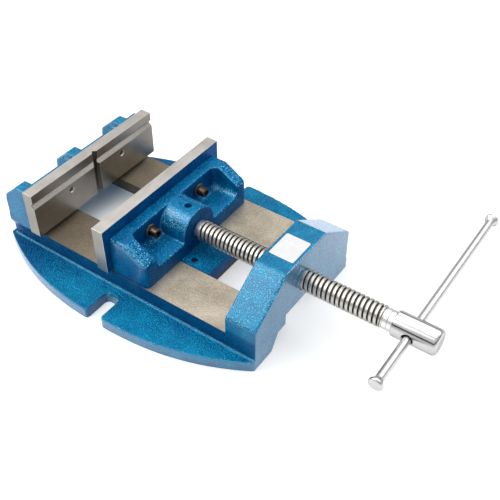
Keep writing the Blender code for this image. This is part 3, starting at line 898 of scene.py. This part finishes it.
class Finishes:
    """Every material, made once."""

    def __init__(self) -> None:
        """Make the materials."""
        self.paint = HammeredPaint().make()
        # The jaw's enamel has stronger painted glints and painted light on its slopes, and painted shade on
        # faces turned away
        self.jaw_paint = HammeredPaint(
            "hammered_jaw_enamel", gloss=0.02, film=0.22, ior=1.25, deep=(0, 0.065, 0.24),
            light=(0, 0.36, 0.68), painted_glint_colour=(0.42, 0.9, 1), painted_slope_light=0.34, painted_away_shade=0.2, painted_glint_share=1, crown=0.34,
            side=0.3).make()
        # The plates get painted shade on faces turned towards +X
        self.plate = GroundSteel("ground_plate_steel", face=1).make()
        # The plates' milled ends: milling grain, in a darker copy of the plate steel as painted shade
        self.shaded_plate_end = GroundSteel("milled_plate_end_steel_painted_shade", colour=(0.42, 0.41, 0.38),
                                     dark=(0.3, 0.28, 0.26), along=(1, 1, 0.05)).make()
        # The ways get painted brown shade between the jaws
        self.way = GroundSteel("ground_way_steel", colour=(0.64, 0.57, 0.46), dark=(0.34, 0.29, 0.22),
                               along=(0.05, 1, 1), roughness=0.46, metallic=0.85, speckle=0.55, grain=1.1,
                               gap_shade=0.52).make()
        self.slot = GroundSteel("milled_slot_steel", colour=(0.2, 0.18, 0.15), dark=(0.09, 0.08, 0.07),
                                along=(0.05, 1, 1), roughness=0.55, metallic=0.7).make()
        self.thread = ThreadSteel().make()
        self.chrome = Plating().make()
        self.satin = Plating("satin_bar_plating", colour=(0.68, 0.685, 0.68), rim=(0.25, 0.25, 0.26),
                             roughness=0.28).make()
        self.black = DarkSteel("blackened_screw_steel").make()
        self.washer = DarkSteel("oiled_washer_steel", dark=(0.09, 0.085, 0.08),
                                brown=(0.3, 0.28, 0.25)).make()
        # The keeper plate, painted dark for the shade it sits in
        self.dull = GroundSteel("sawn_keeper_steel_painted_shade", colour=(0.12, 0.12, 0.125), dark=(0.06, 0.06, 0.065),
                                along=(0.05, 1, 1), roughness=0.5, scratch=0.03).make()
        self.vinyl = Vinyl().make()


# Sub-assemblies

@dataclass
class Assembly:
    """A sub-assembly, dressed in the shared finishes."""

    finishes: Finishes


@dataclass
class CapScrew(Assembly):
    """A socket cap screw and its washer, modelled once along X with the head's seat at 0."""

    shank: float = 2.7
    head: float = 4.3
    height: float = 7
    socket: float = 2.5
    socket_depth: float = 3
    washer: float = 5.8
    washer_hole: float = 3
    washer_thickness: float = 1.6

    def screw(self, name: str, length: float) -> Piece:
        """The screw, with its shank along +X.

        Args:
            name: the piece's name.
            length: the shank's length.

        Returns:
            The screw.
        """
        top, r, floor = -self.height, self.head, -self.height + self.socket_depth
        piece = Piece.turned(name, [(top, 0), (top, r - 0.6), (top + 0.15, r - 0.35), (top + 0.5, r),
                                    (-0.2, r), (0, r - 0.2), (0, self.shank), (length - 0.5, self.shank),
                                    (length, self.shank - 0.5), (length, 0)], 40)
        well = Piece.turned(f"{name}_well", [(top - 1, 0), (top - 1, self.socket), (floor, self.socket),
                                             (floor + 1, 0)], 6)
        return piece.cut(well).shade()

    def ring(self, name: str) -> Piece:
        """The washer, from 0 to its thickness along +X."""
        t, r = self.washer_thickness, self.washer
        piece = Piece.turned(name, [(0, 0), (0, r - 0.2), (0.2, r), (t - 0.3, r), (t, r - 0.3), (t, 0)], 48)
        return piece.cut(Piece.rod(f"{name}_hole", -1, t + 1, self.washer_hole)).shade()

    def fit(self, jaw: str, wall: float, level: float, facing: float, length: float, body: Body,
            names: str) -> None:
        """Put a screw and a washer on each side of one jaw.

        Args:
            jaw: the start of the pieces' names.
            wall: the X of the face that the washers lie on.
            level: the screws' height.
            facing: 1 where the shanks point along +X, -1 where they point back.
            length: the shank's length.
            body: what they ride on.
            names: the start of the CAD nodes' names.
        """
        for side, word in SIDES:
            y = side * AT.jaw_screw_y
            screw = self.screw(f"{jaw}_cap_screw_{word}", length)
            seat = wall - facing * (self.washer_thickness + 0.6)
            screw.aim(spot(seat, y, level), (facing, 0, 0)).dress(self.finishes.black)
            screw.settle(body, Slot.BLACK, f"{names}_screw_{word}")
            ring = self.ring(f"{jaw}_cap_washer_{word}")
            ring.aim(spot(wall - facing * 0.3, y, level), (-facing, 0, 0)).dress(self.finishes.washer)
            ring.settle(body, Slot.BLACK, f"{names}_washer_{word}")


@dataclass
class BaseCasting(Assembly):
    """The cast base: flanges, rails, fixed jaw wall with ribs, and the screw bridge."""

    rail_half: float = 69
    bed_rear: float = -12.3
    front: float = 245
    flange_rear: float = -17
    flange: float = 10.2
    flange_end: float = 70.5
    flange_middle: float = 103.4
    flange_curve: float = 2.4
    flange_steps: int = 56
    slot_half: float = 27.2
    slot_start: float = 16
    channel_start: float = 6
    keeper_start: float = -7
    channel_height: float = 14.5
    channel_roof: float = 37.5
    channel_foot: float = 46.5
    bolt_slot_x: float = 110.4
    bolt_slot_width: float = 14.6
    bolt_slot_depth: float = 25
    bolt_slot_corner: float = 4
    bolt_slot_mouth: float = 3
    wall_half: float = 74
    wall_top: float = 66
    undercut_side: float = 31
    undercut_foot: float = 20
    rib_top: float = 72.4
    rib_length: float = 9.5
    rib_shoulder: Pair = (24.5, 13.5)
    rib_foot: float = 27.7
    root: float = 5
    allowance: float = 2
    way_allowance: float = 1.5
    bridge_rear: float = 217
    bridge_foot: float = 4
    bridge_top: float = 69.7
    bridge_top_half: float = 28
    bridge_shoulder: float = 41.8
    bridge_roof: float = 25
    bore: float = 9.3
    screw_hole: float = 3.3
    ribs: tuple[Pair, ...] = ((-74, -61.7), (-14.5, -2.5), (44.7, 56.7))

    def flange_outline(self) -> list[Pair]:
        """The lens-shaped footprint."""
        middle, half = (self.front + self.flange_rear) / 2, (self.front - self.flange_rear) / 2
        swell = self.flange_middle - self.flange_end
        shares = [-math.cos(math.pi * step / self.flange_steps) for step in range(self.flange_steps + 1)]
        edge = [(middle + half * share, self.flange_end + swell * (1 - abs(share) ** self.flange_curve))
                for share in shares]
        return [(x, -y) for x, y in edge] + [(x, y) for x, y in reversed(edge)]

    def bolt_slot(self, side: int) -> Piece:
        """The cutter of one open hold-down slot.

        Args:
            side: -1 or 1, the side that it is on.

        Returns:
            The cutter.
        """
        left = self.bolt_slot_x - self.bolt_slot_width / 2
        right = self.bolt_slot_x + self.bolt_slot_width / 2
        outer, inner = self.flange_middle, self.flange_middle - self.bolt_slot_depth
        corner, mouth = self.bolt_slot_corner, self.bolt_slot_mouth
        outline = arc((left + corner, inner + corner), corner, 180, 270, 6)
        outline += arc((right - corner, inner + corner), corner, 270, 360, 6)
        outline += arc((right + mouth, outer - mouth), mouth, 180, 120, 4)
        outline += [(right + mouth, outer + mouth), (left - mouth, outer + mouth)]
        outline += arc((left - mouth, outer - mouth), mouth, 60, 0, 4)
        if side < 0:
            outline = [(x, -y) for x, y in reversed(outline)]
        return Piece.prism(f"bolt_slot_{side}", outline, Axis.Z, -OVER, self.flange + OVER)

    def jaw_wall(self) -> list[Piece]:
        """The wall behind the fixed plate and its ribs, with allowance on the milled side."""
        face, (back, drop) = AT.seat + self.allowance, self.rib_shoulder
        pieces = [Piece.block("jaw_wall", (AT.fixed_wall, face), self.wall_half, (self.root, self.wall_top))]
        outline = [(face, self.root), (face, self.rib_top), (AT.seat - self.rib_length, self.rib_top),
                   (AT.seat - back, self.rib_top - drop), (AT.seat - self.rib_foot, self.root)]
        return pieces + [Piece.prism("jaw_rib", outline, Axis.Y, near, far) for near, far in self.ribs]

    def undercut(self, side: int) -> Piece:
        """The cutter under one overhanging end of the jaw wall.

        Args:
            side: -1 or 1, the side that it is on.

        Returns:
            The cutter.
        """
        beyond, rail = side * (self.wall_half + 2 * OVER), side * self.rail_half
        under = [(beyond, self.undercut_side), (side * self.wall_half, self.undercut_side),
                 (rail, self.undercut_foot), (rail, self.flange), (beyond, self.flange)]
        return Piece.prism("undercut", under, Axis.X, AT.seat - 34, AT.seat + 4)

    def bridge(self) -> Piece:
        """The gabled block that the lead screw runs through."""
        half, narrow, foot = self.rail_half, self.bridge_top_half, self.bridge_foot
        outline = [(-half, foot), (half, foot), (half, self.bridge_shoulder), (narrow, self.bridge_top),
                   (-narrow, self.bridge_top), (-half, self.bridge_shoulder)]
        return Piece.prism("bridge", outline, Axis.X, self.bridge_rear, self.front)

    def blank(self) -> Piece:
        """The raw casting, with its corners blended and allowance where it is machined."""
        base = Piece.block("base", (self.bed_rear, self.front), self.rail_half,
                           (2, AT.rail_top + self.way_allowance))
        base.join(*self.jaw_wall())
        base.cut(self.undercut(-1), self.undercut(1))
        base.join(Piece.prism("flange", self.flange_outline(), Axis.Z, -3, self.flange), self.bridge())
        base.cut(self.bolt_slot(-1), self.bolt_slot(1))
        return base.sand_cast(cell=1, blending=6, share=0.16)

    def machine(self, base: Piece) -> None:
        """Mill the feet, the ways, the jaw's seat, the channel, the slot and the bores."""
        with base.editing():
            bpy.ops.mesh.bisect(plane_co=(0, 0, 0), plane_no=(0, 0, -1), use_fill=True, clear_outer=True)
        wide = self.wall_half + 2 * OVER
        ways, seat = (AT.rail_top, AT.rail_top + 8), (AT.rail_top - 0.01, self.rib_top + 9)
        base.cut(Piece.block("way_cut", (AT.seat, self.bridge_rear + 0.2), wide, ways),
                 Piece.block("seat_cut", (AT.seat, AT.seat + 9), wide, seat))
        foot, height = self.channel_foot, self.channel_height
        low = [(foot, -OVER), (foot, 0), (self.channel_roof, height)]
        slot = [(self.slot_half, height), (self.slot_half, self.bridge_roof)]
        base.cut(Piece.prism("channel", mirrored(low + slot), Axis.X, self.channel_start, self.front + OVER),
                 Piece.block("slot", (self.slot_start, self.bridge_rear), self.slot_half,
                             (height, AT.rail_top + OVER)),
                 Piece.prism("keeper_way", mirrored(low), Axis.X, self.keeper_start, self.channel_start + 3))
        bore = Piece.rod("bore", self.bridge_rear - OVER, self.front + OVER, self.bore, 64)
        base.cut(bore.move(0, 0, AT.screw_z))
        for side, _ in SIDES:
            hole = Piece.rod("hole", AT.fixed_wall - OVER, AT.seat + OVER, self.screw_hole)
            base.cut(hole.move(0, side * AT.jaw_screw_y, AT.fixed_screw_z))

    def build(self) -> None:
        """Model, machine and dress the casting."""
        base = self.blank()
        self.machine(base)
        base.shade(32).dress(self.finishes.paint, self.finishes.way, self.finishes.slot)
        base.paint_where(1, self.is_way).paint_where(2, self.is_slot_side)
        base.settle(Body.BASE, Slot.PAINT, "base_casting")

    def is_way(self, centre: Vector, normal: Vector) -> bool:
        """Whether a face belongs to the ground tops of the rails."""
        along = AT.seat < centre.x < self.bridge_rear + 0.3
        return along and abs(centre.z - AT.rail_top) < 0.02 and normal.z > 0.9

    def is_slot_side(self, centre: Vector, normal: Vector) -> bool:
        """Whether a face belongs to the machined sides of the slot between the rails."""
        inside = self.slot_start < centre.x < self.bridge_rear
        return inside and abs(abs(centre.y) - self.slot_half) < 0.3 and centre.z > self.channel_height


@dataclass
class JawPlates(Assembly):
    """The two ground jaw plates."""

    half: float = 75
    bottom: float = 29.5
    top: float = 72.5
    thickness: float = 11
    groove: float = 3.4
    groove_z: float = 62
    setback: float = 0.7
    upright: float = 3.6
    hollow_round: float = 0.15
    groove_round: float = 0.25
    plain_round: float = 0.35
    mouth: float = 3.4
    tap_root: float = 3
    tap_crest: float = 2.65

    def holed(self, plate: Piece, face: float, level: float) -> Piece:
        """Drill the two tapped holes, with their thread, through a plate.

        Args:
            plate: the plate.
            face: the X of its face towards the rear.
            level: the holes' height.

        Returns:
            The plate.
        """
        turns = [face - 1 + turn for turn in range(math.ceil(self.thickness) + 3)]
        profile: list[Pair] = [(face - OVER, 0), (face - OVER, self.mouth), (turns[0], self.mouth)]
        for along, after in zip(turns, turns[1:]):
            profile += [(along + 0.5, self.tap_crest), (after, self.tap_root)]
        profile += [(turns[-1], 0)]
        for side, _ in SIDES:
            hole = Piece.turned("tapped_hole", profile, 32)
            plate.cut(hole.move(0, side * AT.jaw_screw_y, level))
        return plate

    def fixed(self) -> None:
        """The grooved plate of the fixed jaw."""
        face = AT.fixed_face
        back, nose = face - self.thickness, face - self.setback
        outline = [(back, self.bottom), (face, self.bottom), (face, self.groove_z - self.groove),
                   (face - self.groove, self.groove_z), (nose, self.groove_z + self.groove - self.setback),
                   (nose, self.top), (back, self.top)]
        plate = Piece.prism("fixed_plate", outline, Axis.Y, -self.half, self.half)
        reach = self.upright + OVER
        upright = [(face - self.upright, 0), (face + OVER, -reach), (face + OVER, reach)]
        plate.cut(Piece.prism("upright_groove", upright, Axis.Z, self.bottom - OVER, self.top + OVER))
        plate.tidy().round_edges(lambda edge: self.hollow_round if edge.hollow else self.groove_round, 2)
        self.holed(plate, back, AT.fixed_screw_z).shade()
        plate.dress(self.finishes.plate, self.finishes.shaded_plate_end).paint_where(1, self.is_end)
        plate.settle(Body.BASE, Slot.GROUND, "fixed_jaw_plate")

    def moving(self) -> None:
        """The plain plate of the sliding jaw."""
        face = AT.sliding_face
        plate = Piece.block("sliding_plate", (face, face + self.thickness), self.half,
                            (self.bottom, self.top))
        plate.round_edges(lambda edge: self.plain_round, 2)
        self.holed(plate, face, AT.sliding_screw_z).shade()
        plate.dress(self.finishes.plate, self.finishes.shaded_plate_end, self.finishes.jaw_paint)
        plate.paint_where(1, self.is_end).paint_where(2, self.is_back)
        plate.settle(Body.JAW, Slot.GROUND, "moving_jaw_plate")

    def is_end(self, centre: Vector, normal: Vector) -> bool:
        """Whether a face lies on one of a plate's two ends."""
        return abs(centre.y) > self.half - 0.05 and abs(normal.y) > 0.9

    def is_back(self, centre: Vector, normal: Vector) -> bool:
        """Whether a face lies on the sliding plate's back, which gets the jaw's enamel."""
        return normal.x > 0.9 and centre.z > self.bottom


@dataclass
class SlidingJaw(Assembly):
    """The sliding jaw casting and the grub screw that holds the spindle in it."""

    front: float = 104.7
    rear: float = 140.7
    half: float = 68.8
    bottom: float = 25.9
    top: float = 61.7
    top_length: float = 15
    rear_side: float = 49
    side_wall: float = 13.3
    floor: float = 39.5
    boss: float = 20.2
    boss_foot: float = 28
    allowance: float = 3
    neck: Pair = (22, 30)
    front_round: float = 4
    rear_round: float = 5.5
    top_round: float = 2.5
    foot_round: float = 1
    pocket_round: float = 7
    lip: float = 2.5
    lip_end: float = 6
    tongue_half: float = 26.5
    tongue_end: float = 169.3
    tongue_bottom: float = 14.2
    bore: float = 7.3
    bore_depth: float = 25.3
    screw_hole: float = 3.3
    tapping: float = 2.8
    tapping_depth: float = 14
    keep_x: float = 130
    keep_hole: float = 3.05
    keep_foot: float = 43.7
    keep_seat: float = 47.4
    grub: tuple[Pair, ...] = ((0, 0), (0, 1.6), (1.6, 1.6), (1.6, 2.75), (6.7, 2.75), (7, 2.45), (7, 0))
    grub_well: Triple = (5.4, 9, 1.6)

    def corner(self, edge: EdgeView) -> float:
        """The round of one edge of the blank: large on the rear uprights, small elsewhere.

        Args:
            edge: the edge.

        Returns:
            Its radius.
        """
        on_side, high = abs(edge.run.y) < 0.1, edge.middle.z > self.floor
        if edge.middle.x < self.rear - 0.1:
            return self.front_round if on_side and high else self.foot_round
        return self.rear_round if on_side else self.top_round if high else self.foot_round

    def blank(self) -> Piece:
        """The raw casting with its pockets and boss, and allowance where it is machined."""
        floor, inner = self.floor, self.half - self.side_wall
        front, foot = self.front - self.allowance, self.bottom - self.allowance
        outline = [(front, foot), (self.rear, foot), (self.rear, self.rear_side),
                   (self.front + self.top_length, self.top), (front, self.top)]
        jaw = Piece.prism("sliding_jaw", outline, Axis.Y, -self.half, self.half)
        jaw.round_edges(self.corner, 4)
        pocket = Piece.block("pocket", (AT.sliding_wall, self.rear + 8), inner, (floor, self.top + 8))
        behind = self.rear + 1
        lip = [(self.rear - self.lip, floor + 1), (behind, floor - self.lip), (behind, floor + 1)]
        jaw.cut(pocket.soften(self.pocket_round, 6),
                Piece.prism("pocket_lip", lip, Axis.Y, self.lip_end - inner, inner - self.lip_end))
        arch = [(-self.boss, self.boss_foot), (self.boss, self.boss_foot)]
        arch += arc((0, AT.screw_z), self.boss, 0, 180, 40)
        jaw.join(Piece.prism("boss", arch, Axis.X, self.front + 1, self.rear))
        return jaw.tidy().sand_cast(cell=0.75, blending=9, share=0.3)

    def machine(self, jaw: Piece) -> None:
        """Mill the front and the foot, add the tongue, and bore and tap the holes."""
        reach, spare = self.half + OVER, 2 * self.allowance
        front, foot = self.front - spare, self.bottom - spare
        jaw.cut(Piece.block("milled_front", (front, self.front), reach, (foot, self.top + OVER)),
                Piece.block("milled_foot", (front, self.rear + OVER), reach, (foot, self.bottom)))
        tongue = Piece.block("tongue", (self.front + 5, self.tongue_end), self.tongue_half,
                             (self.tongue_bottom, AT.rail_top))
        neck = Piece.block("neck", (self.front + 6, self.rear - 2), self.tongue_half - 1, self.neck)
        jaw.join(neck, tongue.soften(0.5))
        bore = Piece.rod("journal_bore", self.rear - self.bore_depth, self.rear + OVER, self.bore, 48)
        keep = Piece.rod("keep_hole", 0, self.top, self.keep_hole)
        jaw.cut(bore.move(0, 0, AT.screw_z), keep.aim(spot(self.keep_x, 0, self.keep_foot)))
        for side, _ in SIDES:
            tapping = Piece.rod("tapping", -self.tapping_depth, 1, self.tapping, 28)
            jaw.cut(tapping.aim(spot(AT.keeper_screw_x, side * AT.keeper_screw_y, AT.rail_top)))
            hole = Piece.rod("screw_hole", self.front - OVER, AT.sliding_wall + OVER, self.screw_hole)
            jaw.cut(hole.move(0, side * AT.jaw_screw_y, AT.sliding_screw_z))

    def casting(self) -> None:
        """Model, machine and dress the casting."""
        jaw = self.blank()
        self.machine(jaw)
        jaw.shade(40).dress(self.finishes.jaw_paint).settle(Body.JAW, Slot.PAINT, "moving_jaw_casting")

    def keep_screw(self) -> None:
        """The grub screw down in the boss."""
        grub = Piece.turned("spindle_grub_screw", self.grub, 32)
        grub.cut(Piece.rod("grub_well", *self.grub_well, sides=6))
        grub.aim(spot(self.keep_x, 0, self.keep_seat)).shade().dress(self.finishes.black)
        grub.settle(Body.JAW, Slot.BLACK, "spindle_keep_screw")


@dataclass
class Keeper(Assembly):
    """The keeper plate under the rails, with its two sunk cap screws."""

    along: Pair = (114.7, 167.3)
    half: float = 36
    up: Pair = (5.9, 13.9)
    hole: tuple[Pair, ...] = ((0, 0), (0, 5.3), (6.3, 5.3), (6.3, 2.8), (12, 2.8), (12, 0))
    hole_z: float = 3.9
    screw_z: float = 9.9
    screw_length: float = 14.5

    def build(self) -> None:
        """Model and dress the plate and its screws."""
        plate = Piece.block("keeper", self.along, self.half, self.up).soften(0.8)
        cap = CapScrew(self.finishes, shank=2.5, head=5, height=3.7, socket=2.5, socket_depth=2)
        for side, word in SIDES:
            x, y = AT.keeper_screw_x, side * AT.keeper_screw_y
            plate.cut(Piece.turned("keeper_hole", self.hole, 40).aim(spot(x, y, self.hole_z)))
            screw = cap.screw(f"keeper_cap_screw_{word}", self.screw_length).aim(spot(x, y, self.screw_z))
            screw.dress(self.finishes.black).settle(Body.JAW, Slot.BLACK, f"keeper_screw_{word}")
        plate.shade().dress(self.finishes.dull).settle(Body.JAW, Slot.DULL, "keeper_plate")


@dataclass
class LeadScrew(Assembly):
    """The trapezoidal lead screw and its chromed head."""

    start: float = 145.2
    end: float = 313.5
    pitch: float = 4
    phase: float = 145
    journal: tuple[Pair, ...] = (
        (115.7, 0), (115.7, 7), (127.5, 7), (127.5, 5.4), (132.5, 5.4), (132.5, 7), (141, 7), (141, 8.3),
        (141.4, 8.7), (145.5, 8.7), (146, 8.2), (146, 0))
    collar: tuple[Pair, ...] = (
        (-1, 0), (-1, 6.2), (0.6, 7.9), (0.9, 8.3), (1.1, 8.3), (1.6, 7.7), (2.1, 8.3), (5.1, 8.3),
        (5.6, 7.9), (6.1, 8.3), (9.4, 8.3), (9.7, 8), (9.7, 5.5), (17, 5.5), (17, 0))
    head_start: float = 323.5
    head_length: float = 36.3
    head: float = 10.5
    head_round: float = 3.2
    cross_hole: tuple[Pair, ...] = ((-13, 0), (-13, 6.6), (-9.4, 4.3), (9.4, 4.3), (13, 6.6), (13, 0))

    def thread(self) -> None:
        """Thread, plain collar, shank and journal in one piece."""
        p, root, crest = self.pitch, AT.root, AT.crest
        profile = [(0, root), (0.1 * p, root), (0.21 * p, crest - 0.2), (0.27 * p, crest),
                   (0.73 * p, crest), (0.79 * p, crest - 0.2), (0.9 * p, root), (p, root)]
        first = self.phase - 2.5 * p
        turns = math.ceil((self.end - first) / p) + 2
        piece = Piece.chain("lead_screw_thread", [(first + x, r) for x, r in profile])
        piece.modify("SCREW", axis="X", angle=math.tau, screw_offset=p * MM, iterations=turns, steps=48,
                     render_steps=48, use_merge_vertices=True, merge_threshold=MM / 1000,
                     use_smooth_shade=True)
        with piece.editing():
            bpy.ops.mesh.remove_doubles(threshold=MM / 200)
        for level, facing in ((self.start, -1), (self.end, 1)):
            with piece.editing():
                bpy.ops.mesh.bisect(plane_co=spot(level, 0, 0), plane_no=(facing, 0, 0), use_fill=True,
                                    clear_outer=True)
        piece.face_outwards()
        piece.join(Piece.turned("journal", self.journal),
                   Piece.turned("collar", [(self.end + x, r) for x, r in self.collar]))
        piece.move(0, 0, AT.screw_z).shade(30).dress(self.finishes.thread)
        piece.settle(Body.SPINDLE, Slot.THREAD, "lead_screw")

    def knob(self) -> None:
        """The round head with its cross hole."""
        length, r, corner = self.head_length, self.head, self.head_round
        profile: list[Pair] = [(0, 0), (0, r - 0.9), (0.3, r - 0.3), (0.9, r)]
        profile += [(length - corner + x, r - corner + y) for y, x in arc((0, 0), corner, 0, 80, 8)]
        head = Piece.turned("spindle_head_chromed", profile + [(length, 0)], 96)
        hole = Piece.turned("cross_hole", self.cross_hole, 48).aim(spot(AT.bar_x, 0, AT.screw_z), AT.bar())
        head.move(self.head_start, 0, AT.screw_z).cut(hole).shade(30).dress(self.finishes.chrome)
        head.settle(Body.SPINDLE, Slot.CHROME, "spindle_head")


@dataclass
class Handle(Assembly):
    """The loose T-bar with a swaged knob on each end."""

    radius: float = 3.4
    short_end: float = -52
    long_end: float = 141.2
    knob: float = 5.8
    knob_length: float = 6.8
    sag: float = 0.55

    def point(self, distance: float) -> Vector:
        """A point on the bar's axis by its distance from the screw's axis."""
        return spot(AT.bar_x, 0, AT.screw_z - self.sag) + AT.bar() * distance * MM

    def build(self) -> None:
        """Model the bar and both knobs."""
        length, r, end, knob = self.long_end - self.short_end, self.radius, self.knob_length, self.knob
        bar = Piece.turned("handle_rod", [(0, 0), (0, r - 0.2), (0.2, r), (length - 0.2, r),
                                          (length, r - 0.2), (length, 0)], 40)
        bar.aim(self.point(self.short_end), AT.bar()).shade().dress(self.finishes.satin)
        bar.settle(Body.HANDLE, Slot.CHROME, "handle_bar")
        profile = [(0.05, 0), (0.05, r - 0.1), (0.3, r), (1.6, r + 0.5), (end - 2.9, knob - 0.15),
                   (end - 2.6, knob)]
        profile += [(end - 1.7 + x, knob - 1.7 + y) for y, x in arc((0, 0), 1.7, 0, 80, 6)]
        first = Piece.turned("handle_knob", profile + [(end, 0)], 48).shade(40)
        for (facing, word), start in zip(SIDES, (self.short_end, self.long_end)):
            piece = first.copy(f"handle_end_{word}").aim(self.point(start), AT.bar() * facing)
            piece.dress(self.finishes.satin).settle(Body.HANDLE, Slot.CHROME, f"handle_knob_{word}")
        bpy.data.objects.remove(first.shape)


@dataclass
class Label(Assembly):
    """The bare sticker on the bridge's flat top."""

    centre: Pair = (231, -2.7)
    half: Pair = (11, 13.25)
    corner: float = 1.6
    low: float = 69.75
    high: float = 69.95

    def build(self) -> None:
        """Model and dress the sticker."""
        outline: list[Pair] = []
        for sx, sy, start in ((1, 1, 0), (-1, 1, 90), (-1, -1, 180), (1, -1, 270)):
            centre = (self.centre[0] + sx * (self.half[0] - self.corner),
                      self.centre[1] + sy * (self.half[1] - self.corner))
            outline += arc(centre, self.corner, start, start + 90, 6)
        label = Piece.prism("bare_label", outline, Axis.Z, self.low, self.high)
        label.soften(0.06, 1).shade().dress(self.finishes.vinyl)
        label.settle(Body.BASE, Slot.VINYL, "blank_label")


# Studio

@dataclass
class Studio:
    """Floor, light and the photograph's camera."""

    surround: float = 0.4
    mirrored: float = 0.8
    glow: float = 0.5
    camera_place: Triple = (0.46063, -0.38843, 0.48658)
    camera_turn: Triple = (46.9054, -0.161, 34.8095)
    camera_lens: float = 57.748

    def stage(self, name: str, finish: bpy.types.Material) -> None:
        """Name and dress the mesh that an operator has just added.

        Args:
            name: its name.
            finish: its material.
        """
        thing = bpy.context.active_object
        thing.name = name
        bpy.ops.object.transform_apply(location=True)
        thing.data.materials.append(finish)

    def floor(self) -> None:
        """A pale floor that shows white, keeps the object's shadow and has a painted shadow under the
        object's rear.
        """
        graph = Graph("white_paper")
        path = graph.node("ShaderNodeLightPath")
        across = graph.axis(1) * graph.axis(1)
        # Painted shadow: the floor's glow dims to blue-grey under the vise's rear
        under = graph.level(0, -17, -10) * graph.below(0, 5, 50)
        under = under * (1 - across.between((42 * MM) ** 2, (48 * MM) ** 2))
        shares = (Wave(graph, path.outputs[name]) for name in ("Is Camera Ray", "Is Glossy Ray"))
        glow = graph.node("ShaderNodeEmission", inputs={
            "Color": graph.mix(under, (1, 1, 1), (0.06, 0.1, 0.14)), "Strength": sum(shares) * self.glow})
        both = graph.node("ShaderNodeAddShader", inputs={0: graph.shader.outputs[0], 1: glow.outputs[0]})
        graph.feed(graph.nodes["Material Output"].inputs["Surface"], both.outputs[0])
        deselect()
        bpy.ops.mesh.primitive_plane_add(size=12, location=(0.1, 0, -0.0002))
        self.stage("studio_floor", graph.close(Base_Color=(0.8, 0.8, 0.8, 1), Roughness=0.8))

    def band(self) -> None:
        """A dark band around the studio, out of the picture, that polished metal mirrors."""
        deselect()
        bpy.ops.mesh.primitive_cylinder_add(vertices=64, radius=1.3, depth=0.34, end_fill_type="NOTHING",
                                            location=(0.15, 0, 0.55))
        cloth = Graph("dark_cloth").close(Base_Color=(0.02, 0.02, 0.02, 1), Roughness=0.9)
        self.stage("dark_backdrop_band", cloth)

    def world(self) -> None:
        """A soft surround that shows white to the camera and in reflections."""
        world = bpy.data.worlds.new("soft_surround")
        bpy.context.scene.world = world
        tree = Tree(world)
        path = tree.node("ShaderNodeLightPath")
        seen = tree.node("ShaderNodeMapRange", inputs={
            "Value": path.outputs["Is Glossy Ray"], "To Min": self.surround, "To Max": self.mirrored})
        strength = tree.node("ShaderNodeMapRange", inputs={
            "Value": path.outputs["Is Camera Ray"], "To Min": seen.outputs["Result"], "To Max": 1})
        back = tree.nodes["Background"]
        tree.feed(back.inputs["Color"], (1, 1, 1, 1))
        tree.feed(back.inputs["Strength"], strength.outputs["Result"])

    def lamp(self, name: str, place: Triple, aim: Triple, size: Pair, power: float) -> None:
        """One soft rectangular lamp, aimed at a point.

        Args:
            name: its name.
            place: where it is, in metres.
            aim: the point.
            size: its sides.
            power: in watts.
        """
        bpy.ops.object.light_add(type="AREA", location=place)
        lamp = bpy.context.active_object
        lamp.name = name
        lamp.data.shape = "RECTANGLE"
        lamp.data.size, lamp.data.size_y = size
        lamp.data.energy = power
        lamp.rotation_euler = (Vector(aim) - Vector(place)).to_track_quat("-Z", "Y").to_euler()

    def camera(self) -> None:
        """The camera fitted to the photograph."""
        bpy.ops.object.camera_add(location=self.camera_place)
        camera = bpy.context.active_object
        camera.name = "photograph_camera"
        camera.rotation_euler = [math.radians(angle) for angle in self.camera_turn]
        camera.data.sensor_width = 36
        camera.data.lens = self.camera_lens
        camera.data.clip_start, camera.data.clip_end = 0.05, 20
        bpy.context.scene.camera = camera

    def build(self) -> None:
        """Set up the whole studio."""
        self.floor()
        self.band()
        self.world()
        self.lamp("rear_softbox", (-0.75, -0.35, 0.85), (0.12, 0, 0.03), (0.8, 0.8), 7)
        self.lamp("overhead_softbox", (0.1, 0.1, 1.1), (0.12, 0, 0.03), (0.8, 0.8), 3)
        self.lamp("left_softbox", (-0.17, -0.58, 0.9), (0.2, 0, 0.04), (0.6, 0.6), 1.8)
        self.lamp("far_softbox", (0.5, 0.6, 0.65), (0.3, 0.05, 0.04), (1.0, 0.6), 2.2)
        self.lamp("small_key", (-0.2, -0.5, 0.95), (0.12, 0, 0.03), (0.15, 0.15), 0.3)
        self.lamp("far_small_key", (0.5, 0.48, 0.68), (0.14, 0, 0.04), (0.12, 0.12), 0.35)
        self.camera()
        bpy.context.scene.view_settings.view_transform = "Standard"


def main() -> None:
    """Build the vise, dress it and set up the studio."""
    logging.basicConfig(level=logging.INFO, format="%(name)s: %(message)s")
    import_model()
    finishes = Finishes()
    BaseCasting(finishes).build()
    plates = JawPlates(finishes)
    plates.fixed()
    plates.moving()
    jaw = SlidingJaw(finishes)
    jaw.casting()
    Keeper(finishes).build()
    jaw.keep_screw()
    screws = CapScrew(finishes)
    screws.fit("fixed_jaw", AT.fixed_wall, AT.fixed_screw_z, 1, 21.5, Body.BASE, "fixed_jaw")
    screws.fit("sliding_jaw", AT.sliding_wall, AT.sliding_screw_z, -1, 22.5, Body.JAW, "moving_jaw")
    spindle = LeadScrew(finishes)
    spindle.thread()
    spindle.knob()
    Handle(finishes).build()
    Label(finishes).build()
    Studio().build()


if __name__ == "__main__":
    main()
